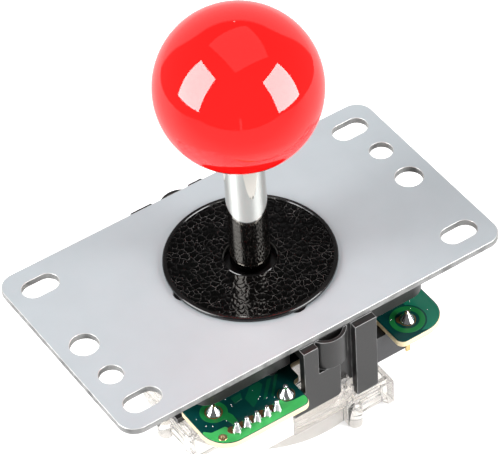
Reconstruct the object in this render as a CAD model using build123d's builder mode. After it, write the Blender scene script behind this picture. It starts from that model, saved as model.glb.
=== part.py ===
from build123d import *
from math import acos, cos, degrees, radians, sin, sqrt, tan
import os

# Arcade joystick lever: ball top, sprung two-way tilting shaft, four lever switches on a board,
# black moulded housing, clear restrictor gate and a steel mounting plate.
# Millimetres. The origin is the centre of the four mounting slots on the plate's top face, +Z runs
# up the shaft and +X along the plate's long side.

os.makedirs("parts", exist_ok=True)

# Mounting plate
plate_length = 95.0
plate_width = 53.0
plate_thick = 1.6
plate_corner = 4.0
slot_end = 7.5
slot_side = 6.5
slot_length = 8.5
slot_width = 5.2
large_hole_end = 6.0
large_hole_radius = 3.1
small_hole_end = 6.0
small_hole_y = 10.35
small_hole_radius = 2.6
plate_bore = 12.0

# Countersunk screws that hold the plate on the housing
screw_circle_radius = 16.8
screw_head_radius = 2.15
screw_shank_radius = 1.45
screw_length = 8.0
recess_width = 0.6
recess_length = 2.4
recess_depth = 0.6

# Lever
ball_radius = 17.5
ball_height = 49.0
shaft_radius = 4.375
shaft_land = 0.4
journal_radius = 3.0
stud_radius = 3.0
stud_length = 12.0
insert_radius = 5.0
insert_length = 13.0
insert_recess = 1.5
insert_cap = 1.0
tilt_limit = 7.0
end_chamfer = 0.4

# Pivot
pivot_drop = 5.4
pivot_radius = 7.0
pivot_flat = 4.0
pivot_foot = 5.6
liner_wall = 1.1

# Clearances
running_gap = 0.05
socket_gap = 0.08
seat_gap = 0.05
tilt_gap = 0.08
contact_gap = 0.45

# Dust washer
washer_radius = 18.7
washer_thick = 1.1
washer_lip = 0.9
washer_dish = 0.18
washer_round = 0.35

# Housing
deck_length = 58.0
deck_width = 48.0
deck_thick = 2.5
deck_corner = 4.0
skirt_depth = 5.9
skirt_wall = 1.8
boss_wall = 2.4
boss_gap = 0.7
screw_boss_radius = 3.4
screw_boss_depth = 9.2
rib_thick = 1.6
rib_depth = 4.5
rib_reach = 26.0
standoff_radius = 2.2
standoff_x = 9.0
standoff_y = 19.0
peg_radius = 1.0
peg_reach = 1.2

# Clip posts on the housing's front and back, and hooked arms on its ends
post_face = 28.35
post_depth = 1.8
narrow_post_left = -6.0
narrow_post_width = 3.6
step_drop = 7.95
block_right = 2.9
block_left = -9.0
block_bottom = -19.3
block_round = 1.2
foot_clearance = 0.15
tall_post_left = 7.0
tall_post_width = 5.4
tall_post_foot = 1.0
back_wall_left = -4.6
back_wall_thick = 1.4
back_wall_bottom = -18.4
half_round_x = 2.0
half_round_radius = 4.75
half_round_wall = 0.8
half_round_bulge = 0.5
window_margin = 0.7
hook_reach = 1.7
hook_thick = 1.4
arm_thick = 1.5

# Circuit board
board_top = -11.7
board_thick = 1.6
board_half_x = 30.4
board_half_y = 30.2
board_long_half_y = 32.2
board_notch_left = -7.0
board_notch_right = 17.2
board_notch_y = 25.0
board_notch_x = 24.4
board_step_x = -5.0
board_step_y = 20.8
board_bore = 13.5
board_corner = 6.0
board_notch_corner = 1.0
board_lobe_corner = 1.8
board_hole_radius = 0.65

# Header, its five pins and a board anchor beside it
pin_count = 5
pin_pitch = 2.5
pin_row_x = -19.0
pin_row_inset = 2.6
pin_side = 0.64
header_length = 14.9
header_width = 4.2
header_depth = 6.0
header_wall = 0.8
header_floor = 1.6
pin_tail = 1.0
anchor_x = -10.2
anchor_inset = 4.9
anchor_radius = 0.55
anchor_length = 3.4

# Solder joints
cone_radius = 1.6
cone_tip = 0.7
cone_height = 2.2
pin_cone_radius = 1.05
pin_cone_height = 2.2
pin_proud = 0.3

# Lever switches
case_left = 4.0
case_length = 19.8
case_face = 14.5
case_width = 10.2
case_depth = 7.4
case_chamfer = 0.5
rivet_radius = 1.2
rivet_depth = 0.8
rivet_inset = 4.5
hinge_x = 21.5
hinge_stand = 0.75
hinge_barrel = 0.6
hinge_pin = 0.35
leaf_thick = 0.3
leaf_height = 3.0
leaf_bend_x = 6.5
leaf_bend_rise = 1.3
leaf_foot_x = 2.8
leaf_tip_x = -3.2
leaf_level = -16.6
ear_length = 1.7
ear_thick = 1.0
plunger_x = 8.0
plunger_radius = 1.0
plunger_length = 3.5
plunger_travel = 1.0
terminal_x = 22.5
terminal_reach = 0.4
terminal_width = 1.0
terminal_thick = 0.5
terminal_foot = 0.5
inner_terminal_x = 7.0
inner_terminal_y = 17.9

# Return spring, its seat, actuator and retaining ring
seat_thick = 1.4
seat_radius = 6.3
seat_lip = 0.6
seat_lip_wall = 0.5
spring_radius = 5.2
wire_radius = 0.45
spring_turns = 4.5
cup_radius = 9.1
cup_wall = 1.0
cup_top_depth = 9.6
cup_base_depth = 19.6
cup_floor = 1.5
cup_chamfer = 1.0
collar_radius = 5.0
collar_length = 4.0
ring_radius = 4.6
ring_thick = 0.7
ring_band = 0.9
ring_prong = 1.8
ring_opening = 5.0
groove_radius = 2.4
shaft_tail = 0.8
slot_cut_width = 1.0
slot_cut_depth = 0.5

# Restrictor gate
gate_bottom = -31.0
gate_radius = 26.6
gate_floor = 3.0
gate_ledge = 1.5
gate_mouth = 13.0
insert_step = 1.5
insert_thick = 2.2
insert_corner = 1.5
rim_wall = 1.4
rim_height = 6.6
panel_left = -8.8
panel_right = 6.7
panel_wall = 1.0
panel_face = 27.6
panel_side_top = -20.0
ledge_thick = 1.0
ledge_root = 23.5
tab_left = 3.25
tab_right = 5.6
tab_top = -16.4
tab_slot_width = 1.0
tab_slot_height = 1.9
tab_slot_drop = 1.3
latch_left = 6.0
latch_rise = 7.6
latch_height = 6.4
groove_depth = 0.35
groove_height = 1.1
groove_pitch = 2.0
ear_side = 16.6
ear_face = 28.1
ear_root = 20.0
ear_wall = 1.2
ear_return = 3.0
ear_height = 6.6
ear_bevel = 1.6
pillar_x = 6.3
pillar_y = 28.1
pillar_radius = 1.65
pillar_height = 5.6
pillar_rib = 1.7

# Levels and fits that follow from the sizes above
sides = {"front": 0, "right": 90, "back": 180, "left": 270}
sin_tilt, cos_tilt = sin(radians(tilt_limit)), cos(radians(tilt_limit))
lean = acos(cos_tilt**2)
plate_under = -plate_thick
slot_pitch_x = plate_length - 2 * slot_end
slot_pitch_y = plate_width - 2 * slot_side
large_hole_x = plate_length / 2 - large_hole_end
small_hole_x = plate_length / 2 - small_hole_end
pivot_z = -pivot_drop
washer_bore = shaft_radius / cos(lean) + (pivot_drop + washer_thick) * tan(lean) + tilt_gap
liner_inner = pivot_radius + socket_gap
liner_outer = liner_inner + liner_wall
liner_mouth = journal_radius / cos_tilt + liner_outer * sin_tilt + 2 * tilt_gap
bowl_radius = liner_outer + socket_gap
boss_radius = bowl_radius + boss_wall
cup_top = pivot_z - cup_top_depth
cup_base = pivot_z - cup_base_depth
collar_base = cup_base - collar_length
boss_depth = cup_top_depth * cos(lean) - cup_radius * sin(lean) - boss_gap
boss_bottom = pivot_z - boss_depth
seat_bottom = boss_bottom - seat_thick
bowl_mouth = journal_radius / cos(lean) + (boss_depth + seat_thick) * tan(lean) + 4 * tilt_gap
deck_under = plate_under - deck_thick
post_top = plate_under - seat_gap
post_back = post_face - post_depth
back_wall_face = post_back + seat_gap
step_level = post_top - step_drop
tall_post_right = tall_post_left + tall_post_width
board_under = board_top - board_thick
pin_row_y = pin_row_inset - board_long_half_y
anchor_y = anchor_inset - board_long_half_y
latch_top = gate_bottom + latch_rise
post_bottom = latch_top + tall_post_foot
rim_top = gate_bottom + rim_height
panel_top = block_bottom - 2 * seat_gap
insert_seat = gate_bottom + gate_ledge
gate_half = collar_radius * cos_tilt + (pivot_z - collar_base) * sin_tilt + 2 * tilt_gap
shoulder = pivot_z + pivot_flat + seat_gap
ball_flat_radius = shaft_radius + shaft_land
ball_flat = ball_height - sqrt(ball_radius**2 - ball_flat_radius**2)
insert_base = ball_flat + insert_recess
ring_top = collar_base - seat_gap
ring_bottom = ring_top - ring_thick
shaft_end = ring_bottom - shaft_tail
leaf_rest = cup_radius + contact_gap + leaf_thick / 2
hinge_y = case_face - hinge_stand
leaf_bend_y = case_face - leaf_bend_rise
leaf_rake = (hinge_y - leaf_bend_y) / (hinge_x - leaf_bend_x)
plunger_tip = leaf_bend_y + leaf_rake * (plunger_x - leaf_bend_x) + leaf_thick / 2 + tilt_gap
terminal_y = case_face + case_width + terminal_reach
case_bottom = board_under - case_depth
terminal_bottom = case_bottom - terminal_foot


def level(height, turn=0):
    """Horizontal plane at a height, turned about the shaft's axis."""
    return Plane.XY.rotated((0, 0, turn)).offset(height)


def side_face(turn, distance):
    """Upright plane that faces out of one side of the part, with its own y up."""
    angle = radians(turn)
    outward = (sin(angle), -cos(angle), 0)
    return Plane(origin=(0, 0, 0), x_dir=(cos(angle), sin(angle), 0), z_dir=outward).offset(distance)


def span(x_low, x_high, y_low, y_high, mode=Mode.ADD):
    """Rectangle between two corners, in the active sketch."""
    with Locations(((x_low + x_high) / 2, (y_low + y_high) / 2)):
        Rectangle(x_high - x_low, y_high - y_low, mode=mode)


def finish(node, name):
    """Label a finished piece and write its file."""
    node.part.label = name
    export_step(node.part, f"parts/{name}.step")


# Mounting plate with four slots, two large holes and two small ones
with BuildPart() as mounting_plate:
    with BuildSketch(level(plate_under)):
        RectangleRounded(plate_length, plate_width, plate_corner)
        Circle(plate_bore, mode=Mode.SUBTRACT)
        with GridLocations(slot_pitch_x, slot_pitch_y, 2, 2):
            SlotOverall(slot_length, slot_width, mode=Mode.SUBTRACT)
        with Locations((-large_hole_x, 0), (large_hole_x, 0)):
            Circle(large_hole_radius, mode=Mode.SUBTRACT)
        with Locations((-small_hole_x, -small_hole_y), (small_hole_x, small_hole_y)):
            Circle(small_hole_radius, mode=Mode.SUBTRACT)
    extrude(amount=plate_thick)
    with PolarLocations(screw_circle_radius, 4):
        CounterSinkHole(
            radius=screw_shank_radius + running_gap,
            counter_sink_radius=screw_head_radius + running_gap,
            depth=plate_thick,
            counter_sink_angle=90,
        )
finish(mounting_plate, "mounting_plate")

# Four countersunk screws, heads flush with the plate, each with a cross recess
head_depth = screw_head_radius - screw_shank_radius
with BuildPart() as plate_screws:
    for turn in sides.values():
        spot = Vector(0, -screw_circle_radius, 0).rotate(Axis.Z, turn)
        with BuildSketch(Plane(origin=spot, x_dir=(1, 0, 0), z_dir=(0, -1, 0))):
            with BuildLine():
                Polyline(
                    (0, 0),
                    (screw_head_radius, 0),
                    (screw_shank_radius, -head_depth),
                    (screw_shank_radius, -screw_length + screw_shank_radius / 2),
                    (screw_shank_radius / 2, -screw_length),
                    (0, -screw_length),
                    close=True,
                )
            make_face()
        revolve(axis=Axis(spot, (0, 0, 1)))
        with BuildSketch(Plane(origin=spot)):
            Rectangle(recess_length, recess_width)
            Rectangle(recess_width, recess_length)
        extrude(amount=-recess_depth, mode=Mode.SUBTRACT)
finish(plate_screws, "plate_screws")

# Black moulded housing: deck and skirt, bowl for the pivot, clip posts, arms and board standoffs
bowl_angle = degrees(acos(bowl_mouth / bowl_radius))
with BuildPart() as main_housing:
    with BuildSketch(level(deck_under)):
        RectangleRounded(deck_length, deck_width, deck_corner)
        for turn in (0, 180):
            front = 1 if turn == 0 else -1
            edges_x = sorted((front * narrow_post_left, front * tall_post_right))
            edges_y = sorted((-front * back_wall_face, 0))
            span(*edges_x, *edges_y)
    extrude(amount=deck_thick)
    with BuildSketch(level(plate_under - skirt_depth)):
        RectangleRounded(deck_length, deck_width, deck_corner)
        offset(amount=-skirt_wall, mode=Mode.SUBTRACT)
        for front in (1, -1):
            window_left = narrow_post_left - window_margin
            window_right = tall_post_right + window_margin
            edges_x = sorted((front * window_left, front * window_right))
            edges_y = sorted((-front * deck_width, 0))
            span(*edges_x, *edges_y, mode=Mode.SUBTRACT)
    extrude(amount=skirt_depth)
    with BuildSketch(level(boss_bottom)):
        Circle(boss_radius)
    extrude(amount=plate_under - boss_bottom)
    with BuildSketch(level(plate_under - screw_boss_depth)):
        with PolarLocations(screw_circle_radius, 4):
            Circle(screw_boss_radius)
    extrude(amount=screw_boss_depth)
    with BuildSketch(level(deck_under - rib_depth)):
        with PolarLocations((boss_radius + rib_reach) / 2, 4, start_angle=45):
            Rectangle(rib_reach - boss_radius + rib_thick, rib_thick)
    extrude(amount=rib_depth)
    for turn in sides.values():
        with BuildSketch(level(board_top, turn)):
            with Locations((-standoff_x, -standoff_y)):
                Circle(standoff_radius)
        extrude(amount=deck_under - board_top)
        with BuildSketch(level(board_under - peg_reach, turn)):
            with Locations((-standoff_x, -standoff_y)):
                Circle(peg_radius)
        extrude(amount=board_top - board_under + peg_reach)
    for turn in (0, 180):
        with BuildSketch(side_face(turn, post_face)):
            with BuildLine():
                Polyline(
                    (narrow_post_left, post_top),
                    (narrow_post_left + narrow_post_width, post_top),
                    (narrow_post_left + narrow_post_width, step_level),
                    (block_right, step_level),
                    (block_right, block_bottom),
                    (block_left, block_bottom),
                    (block_left, board_under - foot_clearance),
                    (narrow_post_left, board_under - foot_clearance),
                    close=True,
                )
            make_face()
            span(tall_post_left, tall_post_right, post_bottom, post_top)
            lower_right = [
                corner
                for corner in vertices()
                if abs(corner.X - block_right) < seat_gap and abs(corner.Y - block_bottom) < seat_gap
            ]
            fillet(lower_right, block_round)
        extrude(amount=-post_depth)
        with BuildSketch(level(back_wall_bottom, turn)):
            span(back_wall_left, tall_post_right, -back_wall_face, back_wall_thick - back_wall_face)
        extrude(amount=deck_under - back_wall_bottom)
        with BuildSketch(level(step_level, turn)):
            arc_y = half_round_radius - post_face - half_round_bulge
            inner = half_round_radius - half_round_wall
            with Locations((half_round_x, arc_y)):
                Circle(half_round_radius)
                Circle(inner, mode=Mode.SUBTRACT)
            behind = seat_gap - post_back
            edges_x = (half_round_x - half_round_radius, half_round_x + half_round_radius)
            span(*edges_x, behind, arc_y + half_round_radius, mode=Mode.SUBTRACT)
        extrude(amount=post_top - step_level)
    for turn in (90, 270):
        arm_face = post_face - hook_reach
        with BuildSketch(side_face(turn, arm_face)):
            span(tall_post_left, tall_post_right, post_bottom, deck_under)
        extrude(amount=-arm_thick)
        with BuildSketch(side_face(turn, post_face)):
            span(tall_post_left, tall_post_right, post_bottom, post_bottom + hook_thick)
        extrude(amount=-hook_reach)
    with BuildSketch(Plane.XZ):
        with BuildLine():
            Polyline((bowl_radius, pivot_z), (bowl_radius, plate_under), (0, plate_under))
            Line((0, plate_under), (0, boss_bottom))
            Line((0, boss_bottom), (bowl_mouth, boss_bottom))
            Line((bowl_mouth, boss_bottom), (bowl_mouth, pivot_z - sqrt(bowl_radius**2 - bowl_mouth**2)))
            CenterArc((0, pivot_z), bowl_radius, 0, -bowl_angle)
        make_face()
    revolve(axis=Axis.Z, mode=Mode.SUBTRACT)
    with BuildSketch(level(plate_under)):
        with PolarLocations(screw_circle_radius, 4):
            Circle(screw_shank_radius + running_gap)
    extrude(amount=-(screw_length - plate_thick + running_gap), mode=Mode.SUBTRACT)
finish(main_housing, "main_housing")

# Floating spherical liner between the bowl and the pivot ball
liner_angle_out = degrees(acos(liner_mouth / liner_outer))
liner_angle_in = degrees(acos(liner_mouth / liner_inner))
with BuildPart() as pivot_liner:
    with BuildSketch(Plane.XZ):
        with BuildLine():
            Line((liner_inner, pivot_z), (liner_outer, pivot_z))
            outer_arc = CenterArc((0, pivot_z), liner_outer, 0, -liner_angle_out)
            inner_arc = CenterArc((0, pivot_z), liner_inner, 0, -liner_angle_in)
            Line(outer_arc @ 1, inner_arc @ 1)
        make_face()
    revolve(axis=Axis.Z)
finish(pivot_liner, "pivot_liner")

# Pivot ball with a flat top and a bore in which the shaft turns
top_angle = degrees(acos(sqrt(pivot_radius**2 - pivot_flat**2) / pivot_radius))
foot_angle = degrees(acos(sqrt(pivot_radius**2 - pivot_foot**2) / pivot_radius))
with BuildPart() as pivot_ball:
    with BuildSketch(Plane.XZ):
        with BuildLine():
            profile = CenterArc((0, pivot_z), pivot_radius, top_angle, -top_angle - foot_angle)
            bore = journal_radius + running_gap
            Polyline(
                profile @ 1,
                (bore, pivot_z - pivot_foot),
                (bore, pivot_z + pivot_flat),
                profile @ 0,
            )
        make_face()
    revolve(axis=Axis.Z)
finish(pivot_ball, "pivot_ball")

# Turned shaft: stud, bright upper shaft, journal, ring groove and a driver slot in its end
with BuildPart() as lever_shaft:
    with BuildSketch(Plane.XZ):
        with BuildLine():
            Polyline(
                (0, shaft_end),
                (journal_radius - end_chamfer, shaft_end),
                (journal_radius, shaft_end + end_chamfer),
                (journal_radius, ring_bottom - running_gap),
                (groove_radius, ring_bottom - running_gap),
                (groove_radius, ring_top + running_gap),
                (journal_radius, ring_top + running_gap),
                (journal_radius, shoulder),
                (shaft_radius, shoulder),
                (shaft_radius, ball_flat),
                (stud_radius, ball_flat),
                (stud_radius, ball_flat + stud_length - end_chamfer),
                (stud_radius - end_chamfer, ball_flat + stud_length),
                (0, ball_flat + stud_length),
                close=True,
            )
        make_face()
    revolve(axis=Axis.Z)
    with BuildSketch(level(shaft_end)):
        Rectangle(2 * journal_radius, slot_cut_width)
    extrude(amount=slot_cut_depth, mode=Mode.SUBTRACT)
finish(lever_shaft, "lever_shaft")

# Ball top, moulded round its threaded insert
flat_angle = degrees(acos(ball_flat_radius / ball_radius))
with BuildPart() as ball_top:
    with BuildSketch(Plane.XZ):
        with BuildLine():
            outline = CenterArc((0, ball_height), ball_radius, -flat_angle, flat_angle + 90)
            entry = stud_radius + 4 * running_gap
            Polyline(
                outline @ 1,
                (0, insert_base + insert_length),
                (insert_radius, insert_base + insert_length),
                (insert_radius, insert_base),
                (entry, insert_base),
                (entry, ball_flat),
                outline @ 0,
            )
        make_face()
    revolve(axis=Axis.Z)
finish(ball_top, "ball_top")

with BuildPart() as ball_insert:
    with BuildSketch(level(insert_base)):
        Circle(insert_radius)
        Circle(stud_radius + running_gap, mode=Mode.SUBTRACT)
    extrude(amount=insert_length - insert_cap)
    with BuildSketch(level(insert_base + insert_length - insert_cap)):
        Circle(insert_radius)
    extrude(amount=insert_cap)
finish(ball_insert, "ball_insert")

# Dust washer that lies loose on the plate, with a raised lip round a grained face
with BuildPart() as dust_washer:
    with BuildSketch(Plane.XZ):
        with BuildLine():
            lip_inner = washer_radius - washer_lip
            face = washer_thick - washer_dish
            Polyline(
                (washer_bore, 0),
                (washer_radius - washer_round, 0),
                (washer_radius, washer_round),
                (washer_radius, washer_thick - washer_round),
                (washer_radius - washer_round, washer_thick),
                (lip_inner, washer_thick),
                (lip_inner - washer_dish, face),
                (washer_bore + washer_dish, face),
                (washer_bore, face - washer_dish),
                close=True,
            )
        make_face()
    revolve(axis=Axis.Z)
finish(dust_washer, "dust_washer")

# Spring seat under the bowl, with a lip that locates the spring
with BuildPart() as spring_seat:
    with BuildSketch(level(seat_bottom)):
        Circle(seat_radius)
        Circle(bowl_mouth, mode=Mode.SUBTRACT)
    extrude(amount=seat_thick)
    with BuildSketch(level(seat_bottom - seat_lip)):
        Circle(seat_radius)
        Circle(seat_radius - seat_lip_wall, mode=Mode.SUBTRACT)
    extrude(amount=seat_lip)
finish(spring_seat, "spring_seat")

# Return spring between the seat and the actuator's floor
spring_low = cup_base + cup_floor + wire_radius + seat_gap
spring_high = seat_bottom - wire_radius - seat_gap
with BuildPart() as return_spring:
    with BuildLine() as coil:
        Helix(
            pitch=(spring_high - spring_low) / spring_turns,
            height=spring_high - spring_low,
            radius=spring_radius,
            center=(0, 0, spring_low),
        )
    with BuildSketch(Plane(origin=coil.line @ 0, z_dir=coil.line % 0)):
        Circle(wire_radius)
    sweep(path=coil.line, is_frenet=True)
finish(return_spring, "return_spring")

# Actuator: a cup round the spring that pushes the switch levers, and a collar for the gate
with BuildPart() as actuator:
    with BuildSketch(Plane.XZ):
        with BuildLine():
            bore = journal_radius + running_gap
            Polyline(
                (bore, collar_base),
                (collar_radius, collar_base),
                (collar_radius, cup_base),
                (cup_radius - cup_chamfer, cup_base),
                (cup_radius, cup_base + cup_chamfer),
                (cup_radius, cup_top),
                (cup_radius - cup_wall, cup_top),
                (cup_radius - cup_wall, cup_base + cup_floor),
                (bore, cup_base + cup_floor),
                close=True,
            )
        make_face()
    revolve(axis=Axis.Z)
finish(actuator, "actuator")

# Retaining ring snapped into the shaft's groove under the actuator
with BuildPart() as retaining_ring:
    with BuildSketch(level(ring_bottom)):
        Circle(ring_radius)
        Circle(ring_radius - ring_band, mode=Mode.SUBTRACT)
        with PolarLocations(ring_radius - ring_band, 3, start_angle=90):
            Rectangle(2 * (ring_radius - ring_band - groove_radius), ring_prong)
        Circle(groove_radius + running_gap, mode=Mode.SUBTRACT)
        span(-ring_opening / 2, ring_opening / 2, -ring_radius, -groove_radius, mode=Mode.SUBTRACT)
    extrude(amount=ring_thick)
finish(retaining_ring, "retaining_ring")

# Circuit board with four corner lobes round the housing's posts
notch = (board_notch_left, board_notch_right)
flipped = (-board_notch_right, -board_notch_left)
far = board_long_half_y + board_corner
with BuildPart() as circuit_board:
    with BuildSketch(level(board_under)):
        Rectangle(2 * board_half_x, 2 * board_half_y)
        span(-board_half_x, board_notch_left, -board_long_half_y, 0)
        span(-board_notch_left, board_half_x, 0, board_long_half_y)
        span(*notch, -far, -board_notch_y, mode=Mode.SUBTRACT)
        span(*flipped, board_notch_y, far, mode=Mode.SUBTRACT)
        span(board_step_x, board_notch_right, -far, -board_step_y, mode=Mode.SUBTRACT)
        span(-board_notch_right, -board_step_x, board_step_y, far, mode=Mode.SUBTRACT)
        span(-far, -board_notch_x, *flipped, mode=Mode.SUBTRACT)
        span(board_notch_x, far, *notch, mode=Mode.SUBTRACT)
        rim_x, rim_y = board_half_x - seat_gap, board_half_y - seat_gap
        inner = [spot for spot in vertices() if abs(spot.X) < rim_x and abs(spot.Y) < rim_y]
        fillet(inner, board_notch_corner)
        lobe_x, lobe_y = board_half_x - board_corner, board_half_y - board_corner
        side_ends = [spot for spot in vertices() if abs(spot.X) > rim_x and abs(spot.Y) < lobe_y]
        long_ends = [spot for spot in vertices() if abs(spot.Y) > rim_y and abs(spot.X) < lobe_x]
        fillet(side_ends + long_ends, board_lobe_corner)
        outer = [spot for spot in vertices() if abs(spot.X) > rim_x and abs(spot.Y) > rim_y]
        fillet(outer, board_corner)
        Circle(board_bore, mode=Mode.SUBTRACT)
        for turn in sides.values():
            for x, y, radius in (
                (-standoff_x, -standoff_y, peg_radius + running_gap),
                (terminal_x, -terminal_y, board_hole_radius),
                (inner_terminal_x, -inner_terminal_y, board_hole_radius),
            ):
                spot = Vector(x, y, 0).rotate(Axis.Z, turn)
                with Locations((spot.X, spot.Y)):
                    Circle(radius, mode=Mode.SUBTRACT)
        with Locations((pin_row_x, pin_row_y)):
            with GridLocations(pin_pitch, pin_pitch, pin_count, 1):
                Circle(pin_side / sqrt(2) + running_gap, mode=Mode.SUBTRACT)
        with Locations((anchor_x, anchor_y)):
            Circle(anchor_radius + running_gap, mode=Mode.SUBTRACT)
    extrude(amount=board_thick)
finish(circuit_board, "circuit_board")

# White header under the board, open downwards
header_bottom = board_under - header_depth
with BuildPart() as connector_header:
    with BuildSketch(level(header_bottom)):
        with Locations((pin_row_x, pin_row_y)):
            Rectangle(header_length, header_width)
    extrude(amount=header_depth)
    with BuildSketch(level(header_bottom)):
        with Locations((pin_row_x, pin_row_y)):
            Rectangle(header_length - 2 * header_wall, header_width - 2 * header_wall)
    extrude(amount=header_depth - header_floor, mode=Mode.SUBTRACT)
    with BuildSketch(level(board_under)):
        with Locations((pin_row_x, pin_row_y)):
            with GridLocations(pin_pitch, pin_pitch, pin_count, 1):
                Rectangle(pin_side, pin_side)
    extrude(amount=-header_floor, mode=Mode.SUBTRACT)
finish(connector_header, "connector_header")

with BuildPart() as header_pins:
    with BuildSketch(level(header_bottom + pin_tail)):
        with Locations((pin_row_x, pin_row_y)):
            with GridLocations(pin_pitch, pin_pitch, pin_count, 1):
                Rectangle(pin_side, pin_side)
    extrude(amount=board_top + pin_cone_height + pin_proud - header_bottom - pin_tail)
finish(header_pins, "header_pins")

with BuildPart() as header_solder:
    with Locations((pin_row_x, pin_row_y, board_top + pin_cone_height / 2)):
        with GridLocations(pin_pitch, pin_pitch, pin_count, 1):
            Cone(pin_cone_radius, cone_tip, pin_cone_height)
    with BuildSketch(level(board_top)):
        with Locations((pin_row_x, pin_row_y)):
            with GridLocations(pin_pitch, pin_pitch, pin_count, 1):
                Rectangle(pin_side, pin_side)
    extrude(amount=pin_cone_height, mode=Mode.SUBTRACT)
finish(header_solder, "header_solder")

# Anchor pin of the board beside the header
with BuildPart() as board_anchor:
    with BuildSketch(level(board_under - anchor_length)):
        with Locations((anchor_x, anchor_y)):
            Circle(anchor_radius)
    extrude(amount=anchor_length + board_thick + cone_height + pin_proud)
finish(board_anchor, "board_anchor")

# Switch terminals: one bent up beside each case and one straight up from its top
terminal_top = board_top + cone_height + pin_proud
with BuildPart() as switch_terminals:
    for turn in sides.values():
        with BuildSketch(side_face(turn + 90, terminal_x + terminal_width / 2)):
            half = terminal_thick / 2
            span(-terminal_y - half, -terminal_y + half, terminal_bottom, terminal_top)
            span(-terminal_y, -(case_face + case_width), leaf_level - half, leaf_level + half)
        extrude(amount=-terminal_width)
        with BuildSketch(level(board_under, turn)):
            with Locations((inner_terminal_x, -inner_terminal_y)):
                Rectangle(terminal_width, terminal_thick)
        extrude(amount=terminal_top - board_under)
finish(switch_terminals, "switch_terminals")

# Solder cones round the switch terminals and the anchor
with BuildPart() as switch_solder:
    for turn in sides.values():
        for x, y in ((terminal_x, -terminal_y), (inner_terminal_x, -inner_terminal_y)):
            spot = Vector(x, y, board_top + cone_height / 2).rotate(Axis.Z, turn)
            with Locations(spot):
                Cone(cone_radius, cone_tip, cone_height)
            with BuildSketch(level(board_top, turn)):
                with Locations((x, y)):
                    Rectangle(terminal_width, terminal_thick)
            extrude(amount=cone_height, mode=Mode.SUBTRACT)
    with Locations((anchor_x, anchor_y, board_top + cone_height / 2)):
        Cone(cone_radius, cone_tip, cone_height)
    with BuildSketch(level(board_top)):
        with Locations((anchor_x, anchor_y)):
            Circle(anchor_radius)
    extrude(amount=cone_height, mode=Mode.SUBTRACT)
finish(switch_solder, "switch_solder")

# Four lever switches, each a case, a hinged lever and a plunger, turned in steps round the shaft
case_right = case_left + case_length
case_back = case_face + case_width
ear_levels = (
    leaf_level + leaf_height / 2 + 2 * running_gap,
    leaf_level - leaf_height / 2 - 2 * running_gap - ear_thick,
)
for side, turn in sides.items():
    with BuildPart() as switch_case:
        with BuildSketch(level(case_bottom, turn)):
            span(case_left, case_right, -case_back, -case_face)
        extrude(amount=case_depth)
        chamfer(edges().filter_by(Axis.Z), case_chamfer)
        with BuildSketch(level(case_bottom, turn)):
            with Locations(
                (case_left + rivet_inset, -case_back + rivet_inset / 2),
                (case_right - rivet_inset, -case_face - rivet_inset / 2),
            ):
                Circle(rivet_radius)
        extrude(amount=rivet_depth, mode=Mode.SUBTRACT)
        for ear_low in ear_levels:
            with BuildSketch(level(ear_low, turn)):
                span(hinge_x - ear_length / 2, hinge_x + ear_length / 2, -case_face, -hinge_y)
                with Locations((hinge_x, -hinge_y)):
                    Circle(ear_length / 2)
                    Circle(hinge_pin + running_gap, mode=Mode.SUBTRACT)
            extrude(amount=ear_thick)
        with BuildSketch(side_face(turn + 180, -case_face)):
            with Locations((-plunger_x, leaf_level)):
                Circle(plunger_radius + running_gap)
        extrude(
            amount=-(plunger_length + plunger_tip - case_face + plunger_travel), mode=Mode.SUBTRACT
        )
    finish(switch_case, f"switch_case_{side}")

    with BuildPart() as switch_lever:
        with BuildSketch(level(leaf_level - leaf_height / 2, turn)):
            with BuildLine():
                Polyline(
                    (hinge_x, -hinge_y),
                    (leaf_bend_x, -leaf_bend_y),
                    (leaf_foot_x, -leaf_rest),
                    (leaf_tip_x, -leaf_rest),
                )
            trace(line_width=leaf_thick)
            with Locations((hinge_x, -hinge_y)):
                Circle(hinge_barrel)
        extrude(amount=leaf_height)
        with BuildSketch(level(ear_levels[1], turn)):
            with Locations((hinge_x, -hinge_y)):
                Circle(hinge_pin)
        extrude(amount=ear_levels[0] + ear_thick - ear_levels[1])
    finish(switch_lever, f"switch_lever_{side}")

    with BuildPart() as switch_plunger:
        with BuildSketch(side_face(turn, plunger_tip)):
            with Locations((plunger_x, leaf_level)):
                Circle(plunger_radius)
        extrude(amount=plunger_length)
    finish(switch_plunger, f"switch_plunger_{side}")

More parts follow.
